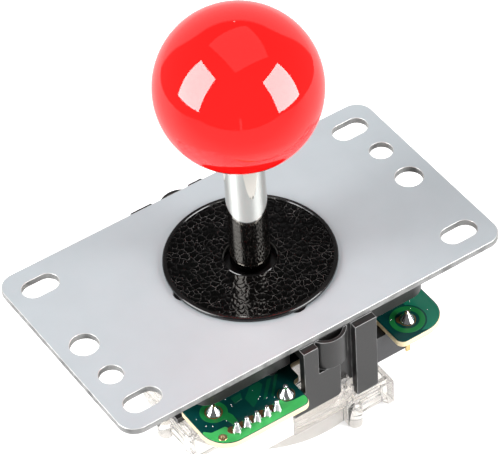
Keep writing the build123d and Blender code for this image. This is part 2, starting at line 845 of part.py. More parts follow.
# Clear restrictor gate: round tray, and on each side a clip panel, a latch bar, a pillar and an ear
with BuildPart() as restrictor_gate:
    with BuildSketch(level(gate_bottom)):
        Circle(gate_radius)
    extrude(amount=gate_floor)
    with BuildSketch(level(gate_bottom)):
        Circle(gate_radius)
        Circle(gate_radius - rim_wall, mode=Mode.SUBTRACT)
    extrude(amount=rim_height)
    for turn in sides.values():
        with BuildSketch(level(rim_top - ledge_thick, turn)):
            span(panel_left, panel_right, -panel_face, -ledge_root)
        extrude(amount=ledge_thick)
        with BuildSketch(side_face(turn, panel_face)):
            span(panel_left, tab_left, rim_top - ledge_thick, panel_top)
            span(tab_left, tab_right, rim_top - ledge_thick, tab_top)
            span(tab_right, panel_right, rim_top - ledge_thick, panel_side_top)
            with Locations(((tab_left + tab_right) / 2, tab_top - tab_slot_drop - tab_slot_height / 2)):
                Rectangle(tab_slot_width, tab_slot_height, mode=Mode.SUBTRACT)
            span(latch_left, ear_side - ear_wall, latch_top - latch_height, latch_top)
        extrude(amount=-panel_wall)
        with BuildSketch(side_face(turn, panel_face)):
            for groove_low in (latch_top - groove_pitch, latch_top - 2 * groove_pitch):
                span(latch_left, ear_side - ear_return, groove_low, groove_low + groove_height)
        extrude(amount=-groove_depth, mode=Mode.SUBTRACT)
        with BuildSketch(level(gate_bottom, turn)):
            span(pillar_x - pillar_rib, pillar_x, -pillar_y, -ledge_root)
        extrude(amount=rim_height)
        with BuildSketch(level(gate_bottom, turn)):
            with Locations((pillar_x, -pillar_y)):
                Circle(pillar_radius)
        extrude(amount=pillar_height)
        with BuildSketch(level(gate_bottom, turn)):
            span(ear_side - ear_wall, ear_side, -ear_face, -ear_root)
        extrude(amount=ear_height)
        with BuildSketch(side_face(turn, ear_face)):
            with BuildLine():
                Polyline(
                    (ear_side, gate_bottom),
                    (ear_side, gate_bottom + ear_height),
                    (ear_side - ear_return, gate_bottom + ear_height),
                    (ear_side - ear_return, gate_bottom + ear_bevel),
                    (ear_side - ear_return + ear_bevel, gate_bottom),
                    close=True,
                )
            make_face()
        extrude(amount=-ear_wall)
    with BuildSketch(level(gate_bottom)):
        Circle(gate_mouth)
    extrude(amount=gate_floor, mode=Mode.SUBTRACT)
    with BuildSketch(level(insert_seat)):
        Circle(gate_mouth + insert_step)
    extrude(amount=insert_thick + gate_floor, mode=Mode.SUBTRACT)
finish(restrictor_gate, "restrictor_gate")

# Square insert that stops the collar
with BuildPart() as gate_insert:
    with BuildSketch(level(insert_seat)):
        Circle(gate_mouth + insert_step - seat_gap)
        RectangleRounded(2 * gate_half, 2 * gate_half, insert_corner, mode=Mode.SUBTRACT)
    extrude(amount=insert_thick)
finish(gate_insert, "gate_insert")
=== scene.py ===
# %% [markdown]
# # An arcade joystick lever in a small studio
#
# This lesson dresses a ball-top lever: a red ball on a chromed shaft, a leather-grained washer, a
# zinc plate, and below it a moulded housing, a green circuit board and a clear gate. The solids come
# from the CAD frame. Round pieces are turned again at a finer step, moulded pieces get softened
# edges, and every surface gets its own finish.

# %% Loading the frame
import math

import bmesh
import bpy
from mathutils import Matrix, Vector


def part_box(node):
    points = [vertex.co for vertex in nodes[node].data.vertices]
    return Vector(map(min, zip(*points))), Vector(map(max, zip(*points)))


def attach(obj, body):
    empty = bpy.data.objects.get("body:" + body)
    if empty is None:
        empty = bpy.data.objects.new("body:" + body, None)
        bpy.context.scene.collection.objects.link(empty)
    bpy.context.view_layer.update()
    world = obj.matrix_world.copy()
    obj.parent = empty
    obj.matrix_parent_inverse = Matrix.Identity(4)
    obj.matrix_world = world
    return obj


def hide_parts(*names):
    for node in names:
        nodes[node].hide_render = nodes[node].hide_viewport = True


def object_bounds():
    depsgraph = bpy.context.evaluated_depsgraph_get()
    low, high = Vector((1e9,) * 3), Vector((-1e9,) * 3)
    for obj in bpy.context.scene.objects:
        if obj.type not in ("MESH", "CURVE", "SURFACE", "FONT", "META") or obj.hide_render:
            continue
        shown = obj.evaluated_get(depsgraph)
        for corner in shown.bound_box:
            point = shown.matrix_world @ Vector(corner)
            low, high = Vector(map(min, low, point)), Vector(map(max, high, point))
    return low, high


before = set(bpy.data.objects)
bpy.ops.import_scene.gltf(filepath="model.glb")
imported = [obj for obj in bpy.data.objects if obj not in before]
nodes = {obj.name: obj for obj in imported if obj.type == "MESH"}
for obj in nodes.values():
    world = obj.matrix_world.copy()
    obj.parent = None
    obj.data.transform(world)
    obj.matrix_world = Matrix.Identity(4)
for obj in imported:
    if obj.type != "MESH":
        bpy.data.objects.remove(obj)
cad_low, cad_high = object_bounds()
MM = 0.001
print("CAD box", [round(v / MM, 1) for v in cad_low], [round(v / MM, 1) for v in cad_high])

# %% [markdown]
# ## Camera
#
# The photographer stood well back with a long lens, above and to the front left of the lever. The
# camera is placed from its position and the direction it looks, and it is rolled by about a degree.

# %% Camera
scene = bpy.context.scene
camera_place = Vector((-236.0325, -390.5505, 463.5386)) * MM
forward = Vector((0.3671319, 0.6063539, -0.7053716)).normalized()
right = Vector((0.8277606, -0.5588850, -0.0495977))
right = (right - forward * right.dot(forward)).normalized()
camera_data = bpy.data.cameras.new("Studio camera")
focal_pixels, picture_width, sensor = 3072.97, 500, 36.0
camera_data.sensor_width = sensor
camera_data.lens = focal_pixels / picture_width * sensor
camera_data.clip_start = 0.05
camera_data.clip_end = 30.0
camera = bpy.data.objects.new("Studio camera", camera_data)
scene.collection.objects.link(camera)
upward = right.cross(forward)
turn = Matrix((right, upward, -forward)).transposed()
camera.matrix_world = Matrix.Translation(camera_place) @ turn.to_4x4()
scene.camera = camera
print("lens", round(camera_data.lens, 1), "mm")

# %% [markdown]
# ## Shared surface effects
#
# Moulded plastic, metal and solder mask are never one flat colour. One node group makes fine grain:
# it varies the colour and roughness a little and gives a height for the bump. It is built once and
# placed in each material with its own scale and strength. A few short helpers come first: they add
# nodes, set their numbers and link them.

# %% Fine grain group
def add(tree, kind, **settings):
    """A node of one kind, with its properties and named inputs set."""
    node = tree.nodes.new(kind)
    for key, value in settings.items():
        if hasattr(node, key):
            setattr(node, key, value)
        else:
            node.inputs[key.replace("_", " ")].default_value = value
    return node


def link(tree, start, end):
    """One link between two sockets."""
    tree.links.new(start, end)


def feed(tree, value, socket):
    """A number set on a socket, or another node's output linked to it."""
    if isinstance(value, (int, float)):
        socket.default_value = value
    else:
        link(tree, value, socket)


def maths(tree, operation, first, second=0.0, clamp=False):
    """The output of a Math node. Each of its two inputs is a number or another node's output."""
    node = add(tree, "ShaderNodeMath", operation=operation, use_clamp=clamp)
    feed(tree, first, node.inputs[0])
    feed(tree, second, node.inputs[1])
    return node.outputs[0]


def ramp(tree, source, low, high, start=0.0, end=1.0, **settings):
    """A Map Range node: what lies between low and high comes out between start and end."""
    node = add(tree, "ShaderNodeMapRange", **settings)
    for label, value in (("From Min", low), ("From Max", high), ("To Min", start), ("To Max", end)):
        node.inputs[label].default_value = value
    link(tree, source, node.inputs["Value"])
    return node


def new_group(name, inputs, outputs):
    """An empty shader group with its sockets, and its two end nodes."""
    group = bpy.data.node_groups.new(name, "ShaderNodeTree")
    for label, kind, value in inputs:
        socket = group.interface.new_socket(label, in_out="INPUT", socket_type=kind)
        socket.default_value = value
    for label, kind in outputs:
        group.interface.new_socket(label, in_out="OUTPUT", socket_type=kind)
    return group, group.nodes.new("NodeGroupInput"), group.nodes.new("NodeGroupOutput")


FLOAT, COLOUR = "NodeSocketFloat", "NodeSocketColor"
grain, grain_in, grain_out = new_group(
    "Fine grain",
    [("Colour", COLOUR, (0.5, 0.5, 0.5, 1)), ("Variation", FLOAT, 0.1), ("Scale", FLOAT, 400.0),
     ("Roughness", FLOAT, 0.4), ("Spread", FLOAT, 0.08)],
    [("Colour", COLOUR), ("Roughness", FLOAT), ("Height", FLOAT)],
)
where = grain.nodes.new("ShaderNodeTexCoord")
broad = add(grain, "ShaderNodeTexNoise", Detail=3.0, Roughness=0.6)
fine = add(grain, "ShaderNodeTexNoise", Detail=2.0, Roughness=0.5)
broad_share = 0.12
link(grain, grain_in.outputs["Scale"], fine.inputs["Scale"])
link(grain, maths(grain, "MULTIPLY", grain_in.outputs["Scale"], broad_share), broad.inputs["Scale"])
for noise in (broad, fine):
    link(grain, where.outputs["Object"], noise.inputs["Vector"])
shade = ramp(grain, broad.outputs["Fac"], 0.3, 0.7)
for label, operation in (("To Min", "SUBTRACT"), ("To Max", "ADD")):
    link(grain, maths(grain, operation, 1.0, grain_in.outputs["Variation"]), shade.inputs[label])
tinted = add(grain, "ShaderNodeVectorMath", operation="SCALE")
link(grain, grain_in.outputs["Colour"], tinted.inputs[0])
link(grain, shade.outputs["Result"], tinted.inputs["Scale"])
link(grain, tinted.outputs[0], grain_out.inputs["Colour"])
rough = add(grain, "ShaderNodeMath", operation="MULTIPLY_ADD")
link(grain, maths(grain, "SUBTRACT", broad.outputs["Fac"], 0.5), rough.inputs[0])
link(grain, grain_in.outputs["Spread"], rough.inputs[1])
link(grain, grain_in.outputs["Roughness"], rough.inputs[2])
link(grain, rough.outputs[0], grain_out.inputs["Roughness"])
link(grain, fine.outputs["Fac"], grain_out.inputs["Height"])
print("group", grain.name, len(grain.nodes), "nodes")

# %% [markdown]
# The second group paints edges lighter. On the rounded edges this is a painted highlight, where they
# catch the light; on the plate's sheared sides it is a lighter mottle of rough steel. The colour is
# broken up by noise so that it isn't a drawn line. Only the roundings along the edges and the plate's
# sheared sides wear it.

# %% Edge highlight and wear group
edge_highlight_and_wear, edge_highlight_and_wear_in, edge_highlight_and_wear_out = new_group(
    "Edge wear",
    [("Colour", COLOUR, (0.5, 0.5, 0.5, 1)), ("Edge colour", COLOUR, (0.8, 0.8, 0.8, 1)),
     ("Amount", FLOAT, 0.3), ("Scale", FLOAT, 300.0)],
    [("Colour", COLOUR)],
)
where = edge_highlight_and_wear.nodes.new("ShaderNodeTexCoord")
patch = add(edge_highlight_and_wear, "ShaderNodeTexNoise", Detail=3.0)
link(edge_highlight_and_wear, where.outputs["Object"], patch.inputs["Vector"])
link(edge_highlight_and_wear, edge_highlight_and_wear_in.outputs["Scale"], patch.inputs["Scale"])
broken = ramp(edge_highlight_and_wear, patch.outputs["Fac"], 0.3, 0.6)
blend = add(edge_highlight_and_wear, "ShaderNodeMix", data_type="RGBA")
highlight_and_wear_share = maths(edge_highlight_and_wear, "MULTIPLY", broken.outputs["Result"], edge_highlight_and_wear_in.outputs["Amount"],
                   clamp=True)
link(edge_highlight_and_wear, highlight_and_wear_share, blend.inputs["Factor"])
link(edge_highlight_and_wear, edge_highlight_and_wear_in.outputs["Colour"], blend.inputs[6])
link(edge_highlight_and_wear, edge_highlight_and_wear_in.outputs["Edge colour"], blend.inputs[7])
link(edge_highlight_and_wear, blend.outputs[2], edge_highlight_and_wear_out.inputs["Colour"])
print("group", edge_highlight_and_wear.name, len(edge_highlight_and_wear.nodes), "nodes")

# %% [markdown]
# ## A recipe for most finishes
#
# Each finish starts from the same recipe: a Principled shader, the grain group for its colour and
# roughness, the edge group for a painted highlight and wear on its edges, and a bump whose depth is
# given in millimetres.

# %% Finish recipe
def finish(name, colour, rough_mean, metallic=0.0, variation=0.1, scale=600.0, spread=0.1,
           depth=0.01, highlight_and_wear_colour=None, highlight_and_wear_amount=0.0, **extra):
    """A material from the two shared groups. Extra values go straight on the shader's sockets."""
    material = bpy.data.materials.new(name)
    material.use_nodes = True
    tree = material.node_tree
    shader = tree.nodes["Principled BSDF"]
    shader.inputs["Metallic"].default_value = metallic
    for key, value in extra.items():
        shader.inputs[key.replace("_", " ")].default_value = value
    surface = tree.nodes.new("ShaderNodeGroup")
    surface.node_tree = grain
    surface.inputs["Colour"].default_value = (*colour, 1)
    surface.inputs["Variation"].default_value = variation
    surface.inputs["Scale"].default_value = scale
    surface.inputs["Roughness"].default_value = rough_mean
    surface.inputs["Spread"].default_value = spread
    colour_out = surface.outputs["Colour"]
    # The edge group mixes in a lighter colour: a painted highlight on edges, and a mottle on the plate's
    # side.
    if highlight_and_wear_colour:
        highlight_and_wear_node = tree.nodes.new("ShaderNodeGroup")
        highlight_and_wear_node.node_tree = edge_highlight_and_wear
        highlight_and_wear_node.inputs["Edge colour"].default_value = (*highlight_and_wear_colour, 1)
        highlight_and_wear_node.inputs["Amount"].default_value = highlight_and_wear_amount
        link(tree, colour_out, highlight_and_wear_node.inputs["Colour"])
        colour_out = highlight_and_wear_node.outputs["Colour"]
    link(tree, colour_out, shader.inputs["Base Color"])
    link(tree, surface.outputs["Roughness"], shader.inputs["Roughness"])
    bump = tree.nodes.new("ShaderNodeBump")
    bump.inputs["Strength"].default_value = 1.0
    bump.inputs["Distance"].default_value = depth * MM
    link(tree, surface.outputs["Height"], bump.inputs["Height"])
    link(tree, bump.outputs["Normal"], shader.inputs["Normal"])
    return material


# %% [markdown]
# ## The finishes
#
# The ball is polished solid-colour plastic, so it has almost no grain and a strong, clear gloss. The
# zinc plate is satin and faintly blue on its flats; its rolled edge carries a painted highlight, and its
# sheared side is dull grey steel darkened further by painted shade. Moulded black parts differ a little
# from each other: the housing is coarser than the switch cases and the actuator. Black and clear
# mouldings each have a second finish for their edge roundings: a painted highlight on the black ones
# and painted shade on the clear ones.

# %% Finishes
ball_red = finish("Polished red plastic", (0.86, 0.006, 0.0055), 0.035, variation=0.015, scale=160,
                  spread=0.01, depth=0.002, Specular_IOR_Level=0.58, IOR=1.5)
shaft_chrome = finish("Polished chrome", (0.785, 0.755, 0.70), 0.05, metallic=1.0, variation=0.02,
                      scale=500, spread=0.03, depth=0.0006)
plate_zinc = finish("Satin zinc plate", (0.418, 0.458, 0.483), 0.5, metallic=0.35, variation=0.02,
                    scale=900, spread=0.08, depth=0.006)
# Painted highlight: the rolled edge is coloured lighter where it catches the light.
plate_edge_highlight = finish("Rolled plate edge", (0.42, 0.425, 0.42), 0.4, metallic=0.5, variation=0.1,
                    scale=900, depth=0.01, highlight_and_wear_colour=(0.62, 0.62, 0.61), highlight_and_wear_amount=0.8)
# Dull sheared steel whose colour is darkened further as painted shade; the lighter mottle is its rough
# surface.
plate_side_shaded = finish("Sheared plate side", (0.09, 0.09, 0.089), 0.5, metallic=0.2, variation=0.35,
                    scale=2500, spread=0.2, depth=0.03, highlight_and_wear_colour=(0.22, 0.22, 0.215),
                    highlight_and_wear_amount=0.7)
screw_black = finish("Black oxide steel", (0.03, 0.03, 0.032), 0.35, metallic=0.8, depth=0.01)
housing_black = finish("Moulded black housing", (0.009, 0.0087, 0.0085), 0.34, variation=0.15,
                       scale=1800, spread=0.15, depth=0.02)
# Painted highlight: the housing's roundings are coloured lighter where they catch the light.
housing_edge_highlight = finish("Worn housing edge", (0.03, 0.03, 0.03), 0.35, variation=0.15, scale=1800,
                      depth=0.02, highlight_and_wear_colour=(0.21, 0.21, 0.21), highlight_and_wear_amount=0.9)
actuator_black = finish("Smooth black acetal", (0.03, 0.03, 0.033), 0.3, scale=900, depth=0.005)
switch_black = finish("Black switch case", (0.028, 0.028, 0.03), 0.38, variation=0.12, scale=1500,
                      depth=0.012)
# Painted highlight: the switch cases' roundings are coloured lighter where they catch the light.
switch_edge_highlight = finish("Worn switch edge", (0.03, 0.03, 0.032), 0.35, scale=1500, depth=0.012,
                     highlight_and_wear_colour=(0.14, 0.14, 0.14), highlight_and_wear_amount=0.6)
washer_black = finish("Black washer vinyl", (0.004, 0.0035, 0.0035), 0.13, variation=0.2, scale=1200,
                      spread=0.12, depth=0.006, Specular_IOR_Level=0.5)
washer_grained = finish("Grained washer vinyl", (0.0006, 0.0005, 0.0005), 0.12, variation=0.2,
                        scale=1200, spread=0.05, depth=0.004, Specular_IOR_Level=0.12)
pivot_black = finish("Greased black acetal", (0.008, 0.008, 0.009), 0.3, variation=0.04, scale=500,
                     depth=0.006)
header_white = finish("Natural nylon", (0.84, 0.82, 0.75), 0.4, variation=0.04, scale=900,
                      depth=0.008)
spring_steel = finish("Bright spring steel", (0.62, 0.62, 0.64), 0.22, metallic=1.0, scale=1500,
                      spread=0.1, depth=0.004)
solder = finish("Bright solder", (0.80, 0.80, 0.82), 0.16, metallic=1.0, variation=0.08, scale=900,
                spread=0.14, depth=0.03)
pin_tin = finish("Tinned pin", (0.74, 0.73, 0.72), 0.24, metallic=1.0, depth=0.005)
terminal_brass = finish("Plain brass", (0.78, 0.56, 0.25), 0.26, metallic=1.0, variation=0.08,
                        depth=0.006)
plunger_red = finish("Red acetal plunger", (0.55, 0.03, 0.03), 0.22, depth=0.003)
flux_brown = finish("Baked flux", (0.11, 0.055, 0.02), 0.25, variation=0.4, scale=1500, spread=0.2,
                    depth=0.02)
copper_pad = finish("Gold-plated pad", (0.83, 0.55, 0.30), 0.3, metallic=1.0, variation=0.1,
                    depth=0.01)
board_edge = finish("Cut board edge", (0.56, 0.47, 0.29), 0.6, variation=0.08, scale=2500,
                    depth=0.03)
MASK = {"scale": 700, "spread": 0.08, "Specular_IOR_Level": 0.35, "Coat_Weight": 0.22,
        "Coat_Roughness": 0.08}
copper_green = finish("Mask over wide copper", (0.045, 0.34, 0.085), 0.18, variation=0.3, depth=0.006,
                      **MASK)
ring_green = finish("Mask over rings", (0.009, 0.14, 0.035), 0.18, variation=0.08, depth=0.006,
                    **MASK)
# Darker than the other copper under the mask: painted shade where the plate shades the board.
shaded_track_green = finish("Mask over tracks", (0.003, 0.07, 0.035), 0.18, variation=0.1, depth=0.006,
                     **MASK)
fill_green = finish("Mask over fill", (0.006, 0.13, 0.075), 0.2, variation=0.15, depth=0.008, **MASK)
mask_green = finish("Mask over laminate", (0.0016, 0.036, 0.033), 0.2, variation=0.2, depth=0.012,
                    **MASK)
gate_clear = finish("Clear moulded plastic", (0.95, 0.92, 0.885), 0.06, variation=0.01, scale=500,
                    spread=0.04, depth=0.004, Transmission_Weight=0.9, IOR=1.2,
                    Specular_IOR_Level=0.8)
# Painted shade: the clear roundings are coloured darker, like edges that bend the light away.
gate_edge_shade = finish("Clear moulded edge", (0.36, 0.35, 0.34), 0.12, variation=0.05, scale=900,
                   depth=0.004, Transmission_Weight=0.35, IOR=1.3, Specular_IOR_Level=0.8)
print("finishes", len(bpy.data.materials))


# %% [markdown]
# The washer's leather grain has fine creases. Their pale colour is a painted highlight, standing in for
# the light that the grooves catch, and they are rougher than the flats. They follow the same bent
# Voronoi cells as the relief that is made later, so each crease lies in its own valley.

# %% Creases in the leather
cell_size, cell_bend = 1.45 * MM, 1.7 * MM


def crease_distance(tree, place, bend, density):
    """How far a place lies from the nearest crease, as a share of a bent Voronoi cell."""
    wander = add(tree, "ShaderNodeTexNoise", Scale=900.0, Detail=3.0)
    link(tree, place, wander.inputs["Vector"])
    off = add(tree, "ShaderNodeVectorMath", operation="SUBTRACT")
    off.inputs[1].default_value = (0.5, 0.5, 0.5)
    link(tree, wander.outputs["Color"], off.inputs[0])
    bent = add(tree, "ShaderNodeVectorMath", operation="SCALE")
    link(tree, off.outputs[0], bent.inputs[0])
    feed(tree, bend, bent.inputs["Scale"])
    moved = add(tree, "ShaderNodeVectorMath", operation="ADD")
    link(tree, place, moved.inputs[0])
    link(tree, bent.outputs[0], moved.inputs[1])
    cells = add(tree, "ShaderNodeTexVoronoi", voronoi_dimensions="2D", feature="DISTANCE_TO_EDGE")
    link(tree, moved.outputs[0], cells.inputs["Vector"])
    feed(tree, density, cells.inputs["Scale"])
    return cells.outputs["Distance"]


tree = washer_grained.node_tree
shader = tree.nodes["Principled BSDF"]
where = tree.nodes.new("ShaderNodeTexCoord")
crease_width = 0.036
distance = crease_distance(tree, where.outputs["Object"], cell_bend, 1 / cell_size)
crease = ramp(tree, distance, 0.0, crease_width, 1.0, 0.0, interpolation_type="SMOOTHSTEP")
patchy = add(tree, "ShaderNodeTexNoise", Scale=420.0, Detail=2.0)
link(tree, where.outputs["Object"], patchy.inputs["Vector"])
kept = ramp(tree, patchy.outputs["Fac"], 0.36, 0.62)
crease_and_glint_mask = maths(tree, "MULTIPLY", crease.outputs["Result"], kept.outputs["Result"])
# The pale crease colour is a painted highlight; the higher roughness is the creases' own.
for socket, pale in (("Base Color", (0.075, 0.07, 0.068, 1)), ("Roughness", (0.5, 0.5, 0.5, 1))):
    plain = shader.inputs[socket].links[0].from_socket
    blend = add(tree, "ShaderNodeMix", data_type="RGBA")
    link(tree, crease_and_glint_mask, blend.inputs["Factor"])
    link(tree, plain, blend.inputs[6])
    blend.inputs[7].default_value = pale
    link(tree, blend.outputs[2], shader.inputs[socket])
print("creases every", round(cell_size / MM, 1), "mm")

# %% [markdown]
# ## Tools for pieces
#
# Three helpers make most pieces. The first turns a profile round the shaft, as a lathe does. The
# second copies a CAD node and softens its edges. The third cuts a flat piece from an outline with
# holes, using a 2-D curve, whose own bevel rounds every edge alike.

# %% Turned pieces
def link_piece(name, mesh, material):
    """An object for a mesh, with one material."""
    piece = bpy.data.objects.new(name.replace(" ", "_"), mesh)
    scene.collection.objects.link(piece)
    mesh.materials.clear()
    mesh.materials.append(material)
    return piece


def smooth(mesh, angle=35):
    """Smooth shading, with a crease wherever two faces meet at more than an angle."""
    mesh.shade_smooth()
    mesh.set_sharp_from_angle(angle=math.radians(angle))


def turned_mesh(name, profile, steps=96, closed=True):
    """A profile of (radius, height) in millimetres turned round an upright axis."""
    mesh = bpy.data.meshes.new(name)
    work = bmesh.new()
    ring = [work.verts.new((r * MM, 0, z * MM)) for r, z in profile]
    pairs = list(zip(ring, ring[1:])) + ([(ring[-1], ring[0])] if closed else [])
    for a, b in pairs:
        work.edges.new((a, b))
    bmesh.ops.spin(work, geom=work.verts[:] + work.edges[:], cent=(0, 0, 0), axis=(0, 0, 1),
                   angle=2 * math.pi, steps=steps, use_merge=True)
    bmesh.ops.remove_doubles(work, verts=work.verts, dist=1e-7)
    flat = [face for face in work.faces if face.calc_area() < 1e-14]
    bmesh.ops.delete(work, geom=flat, context="FACES")
    bmesh.ops.recalc_face_normals(work, faces=work.faces)
    work.to_mesh(mesh)
    work.free()
    smooth(mesh)
    return mesh


def arc(centre_r, centre_z, radius, start, end, steps=8):
    """Points of an arc in a profile or an outline, from one angle to another in degrees."""
    angles = [math.radians(start + (end - start) * i / steps) for i in range(steps + 1)]
    return [(centre_r + radius * math.cos(a), centre_z + radius * math.sin(a)) for a in angles]


def turned(node, name, body, slot, material, profile, steps=96, **options):
    """A turned piece that takes a CAD node's place."""
    piece = link_piece(name, turned_mesh(name, profile, steps, **options), material)
    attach(piece, body)
    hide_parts(node)
    print(name, len(piece.data.polygons), "faces")


# %% [markdown]
# A moulding keeps the exact shape of its CAD solid and only loses its sharp edges. It could be modelled
# again, but a copy keeps every clip and boss where it fits. The CAD mesh is loose triangles, so its
# doubles are merged and its flats joined before a Bevel modifier can follow the edges.


# %% Softened copies
def plain_mesh(thing):
    """The mesh that an object shows, with its modifiers or its curve's bevel made real."""
    return bpy.data.meshes.new_from_object(
        thing.evaluated_get(bpy.context.evaluated_depsgraph_get()))


def apply_modifiers(piece):
    """The piece's modifiers made part of its own mesh."""
    piece.data = plain_mesh(piece)
    piece.modifiers.clear()


def flat_and_round(piece, angle=60):
    """Shading that keeps large faces flat and lets only the narrow roundings bend the light."""
    smooth(piece.data, angle)
    even = piece.modifiers.new("Even normals", "WEIGHTED_NORMAL")
    even.keep_sharp = True
    even.weight = 100
    apply_modifiers(piece)


def softened(node, name, body, slot, material, width, edge=None, angle=30, clamp=True):
    """A copy of a CAD node with its doubles merged, its flats joined and its edges rounded."""
    mesh = bpy.data.meshes.new(name)
    work = bmesh.new()
    work.from_mesh(nodes[node].data)
    bmesh.ops.remove_doubles(work, verts=work.verts, dist=2e-6)
    bmesh.ops.dissolve_limit(work, angle_limit=math.radians(0.6), verts=work.verts,
                             edges=work.edges, use_dissolve_boundaries=False)
    # The CAD mesh brings its own normals, which would hide the new roundings.
    for layer in list(work.loops.layers.float_vector):
        work.loops.layers.float_vector.remove(layer)
    work.to_mesh(mesh)
    work.free()
    if "custom_normal" in mesh.attributes:
        mesh.attributes.remove(mesh.attributes["custom_normal"])
    piece = link_piece(name, mesh, material)
    rounding = piece.modifiers.new("Rounded edges", "BEVEL")
    rounding.width = width * MM
    rounding.segments = 2
    rounding.limit_method = "ANGLE"
    rounding.angle_limit = math.radians(angle)
    rounding.use_clamp_overlap = clamp
    rounding.miter_outer = "MITER_ARC"
    # The roundings get the edge finish: a painted highlight on black mouldings, painted shade on clear
    # ones.
    if edge:
        mesh.materials.append(edge)
        rounding.material = 1
    apply_modifiers(piece)
    flat_and_round(piece)
    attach(piece, body)
    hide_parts(node)
    print(name, len(piece.data.polygons), "faces")


# %% [markdown]
# Sheet metal, a board and its copper are flat outlines with holes. A mesh would have to be cut hole by
# hole. A 2-D curve fills itself round its inner splines, and its bevel rounds every edge alike.


# %% Flat pieces
level = 0.999


def rounded_outline(corners, radii, step=9):
    """Corners of an outline, each replaced by an arc of its own radius."""
    points = []
    count = len(corners)
    for i, corner in enumerate(corners):
        here = Vector(corner)
        before = (Vector(corners[i - 1]) - here).normalized()
        after = (Vector(corners[(i + 1) % count]) - here).normalized()
        radius = radii[i] if isinstance(radii, (list, tuple)) else radii
        half = before.angle(after) / 2
        reach = radius / math.tan(half)
        middle = here + (before + after).normalized() * radius / math.sin(half)
        first, last = here + before * reach - middle, here + after * reach - middle
        sweep = first.angle_signed(last)
        steps = max(2, round(abs(math.degrees(sweep)) / step))
        for k in range(steps + 1):
            spin = Matrix.Rotation(-sweep * k / steps, 2)
            points.append(middle + spin @ first)
    return [(p.x, p.y) for p in points]


def round_hole(x, y, radius, count=48):
    """Points of a circle."""
    angles = [2 * math.pi * i / count for i in range(count)]
    return [(x + radius * math.cos(a), y + radius * math.sin(a)) for a in angles]


def slot_hole(x, y, length, width, count=14):
    """Points of a slot that runs along X."""
    reach, radius = (length - width) / 2, width / 2
    points = []
    for side, start in ((1, -90), (-1, 90)):
        for i in range(count + 1):
            a = math.radians(start + 180 * i / count)
            points.append((x + side * reach + radius * math.cos(a), y + radius * math.sin(a)))
    return points


def curve_mesh(curve):
    """A curve made into a plain mesh."""
    holder = bpy.data.objects.new(curve.name, curve)
    scene.collection.objects.link(holder)
    mesh = plain_mesh(holder)
    bpy.data.objects.remove(holder)
    return mesh


def flat_mesh(name, outlines, low, high, edge, rounds=2):
    """A plate between two heights, with holes, and one small rounding on all its edges."""
    curve = bpy.data.curves.new(name, "CURVE")
    curve.dimensions = "2D"
    curve.fill_mode = "BOTH"
    curve.extrude = ((high - low) / 2 - edge) * MM
    curve.bevel_depth = edge * MM
    curve.bevel_resolution = rounds
    curve.offset = -edge * MM
    for outline in outlines:
        spline = curve.splines.new("POLY")
        spline.points.add(len(outline) - 1)
        for point, (x, y) in zip(spline.points, outline):
            point.co = (x * MM, y * MM, 0, 1)
        spline.use_cyclic_u = True
    mesh = curve_mesh(curve)
    mesh.transform(Matrix.Translation((0, 0, (low + high) / 2 * MM)))
    work = bmesh.new()
    work.from_mesh(mesh)
    bmesh.ops.remove_doubles(work, verts=work.verts, dist=1e-7)
    bmesh.ops.recalc_face_normals(work, faces=work.faces)
    caps = {face.index for face in work.faces if abs(face.normal.z) > level}
    for rim_edge in work.edges:
        rim_edge.smooth = sum(face.index in caps for face in rim_edge.link_faces) != 1
    work.to_mesh(mesh)
    work.free()
    mesh.shade_smooth()
    return mesh


# %% [markdown]
# ## Mounting plate
#
# The plate is blanked from sheet and zinc plated. Its top edge is slightly rolled over, its flat is dead
# even, and its sheared sides are dull. A 2-D curve with inner splines is the natural way to cut it: the
# slots and holes are outlines like the plate's own, and one bevel value rounds them all. Each face then
# gets the flat's, the edge's or the side's finish by the way it points: the upward roundings wear a
# painted highlight, and the upright sides painted shade over their dull steel.

# %% Mounting plate
plate_low, plate_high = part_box("mounting_plate")
half_x, half_y = plate_high.x / MM, plate_high.y / MM
thickness = -plate_low.z / MM
corner_round, rolled_edge = 4.0, 0.16
plate_outline = rounded_outline(
    [(-half_x, -half_y), (half_x, -half_y), (half_x, half_y), (-half_x, half_y)], corner_round, 5)
slot_x, slot_y, slot_length, slot_width = 40, 20, 8.5, 5.2
end_x, end_r = 41.5, 3.1
small_y, small_r = 10.35, 2.6
bore_r = 12.0
screw_reach, screw_r = 16.8, 2.2
plate_holes = [slot_hole(x, y, slot_length, slot_width)
               for x in (-slot_x, slot_x) for y in (-slot_y, slot_y)]
plate_holes += [round_hole(x, 0, end_r) for x in (-end_x, end_x)]
plate_holes += [round_hole(x, y, small_r) for x, y in ((-end_x, -small_y), (end_x, small_y))]
plate_holes += [round_hole(0, 0, bore_r, 96)]
screw_places = [(screw_reach, 0), (0, screw_reach), (-screw_reach, 0), (0, -screw_reach)]
plate_holes += [round_hole(x, y, screw_r, 40) for x, y in screw_places]
plate_mesh = flat_mesh("Steel plate", [plate_outline] + plate_holes, -thickness, 0, rolled_edge)
plate = link_piece("Steel plate", plate_mesh, plate_zinc)
plate.data.materials.append(plate_edge_highlight)
plate.data.materials.append(plate_side_shaded)
edge_upward = 0.3
# Roundings that face upward get the painted highlight finish; upright sides get the painted shade finish
# over their dull steel.
for face in plate.data.polygons:
    if abs(face.normal.z) < level:
        face.material_index = 1 if abs(face.normal.z) > edge_upward else 2
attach(plate, "base")
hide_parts("mounting_plate")
print("plate", len(plate.data.polygons), "faces")

# %% [markdown]
# ## Dust washer
#
# The washer is a thin moulded disc that keeps dust out of the pivot. Its rim is smooth and polished,
# so it is turned in one profile, with a low field inside the rim for the grained face.

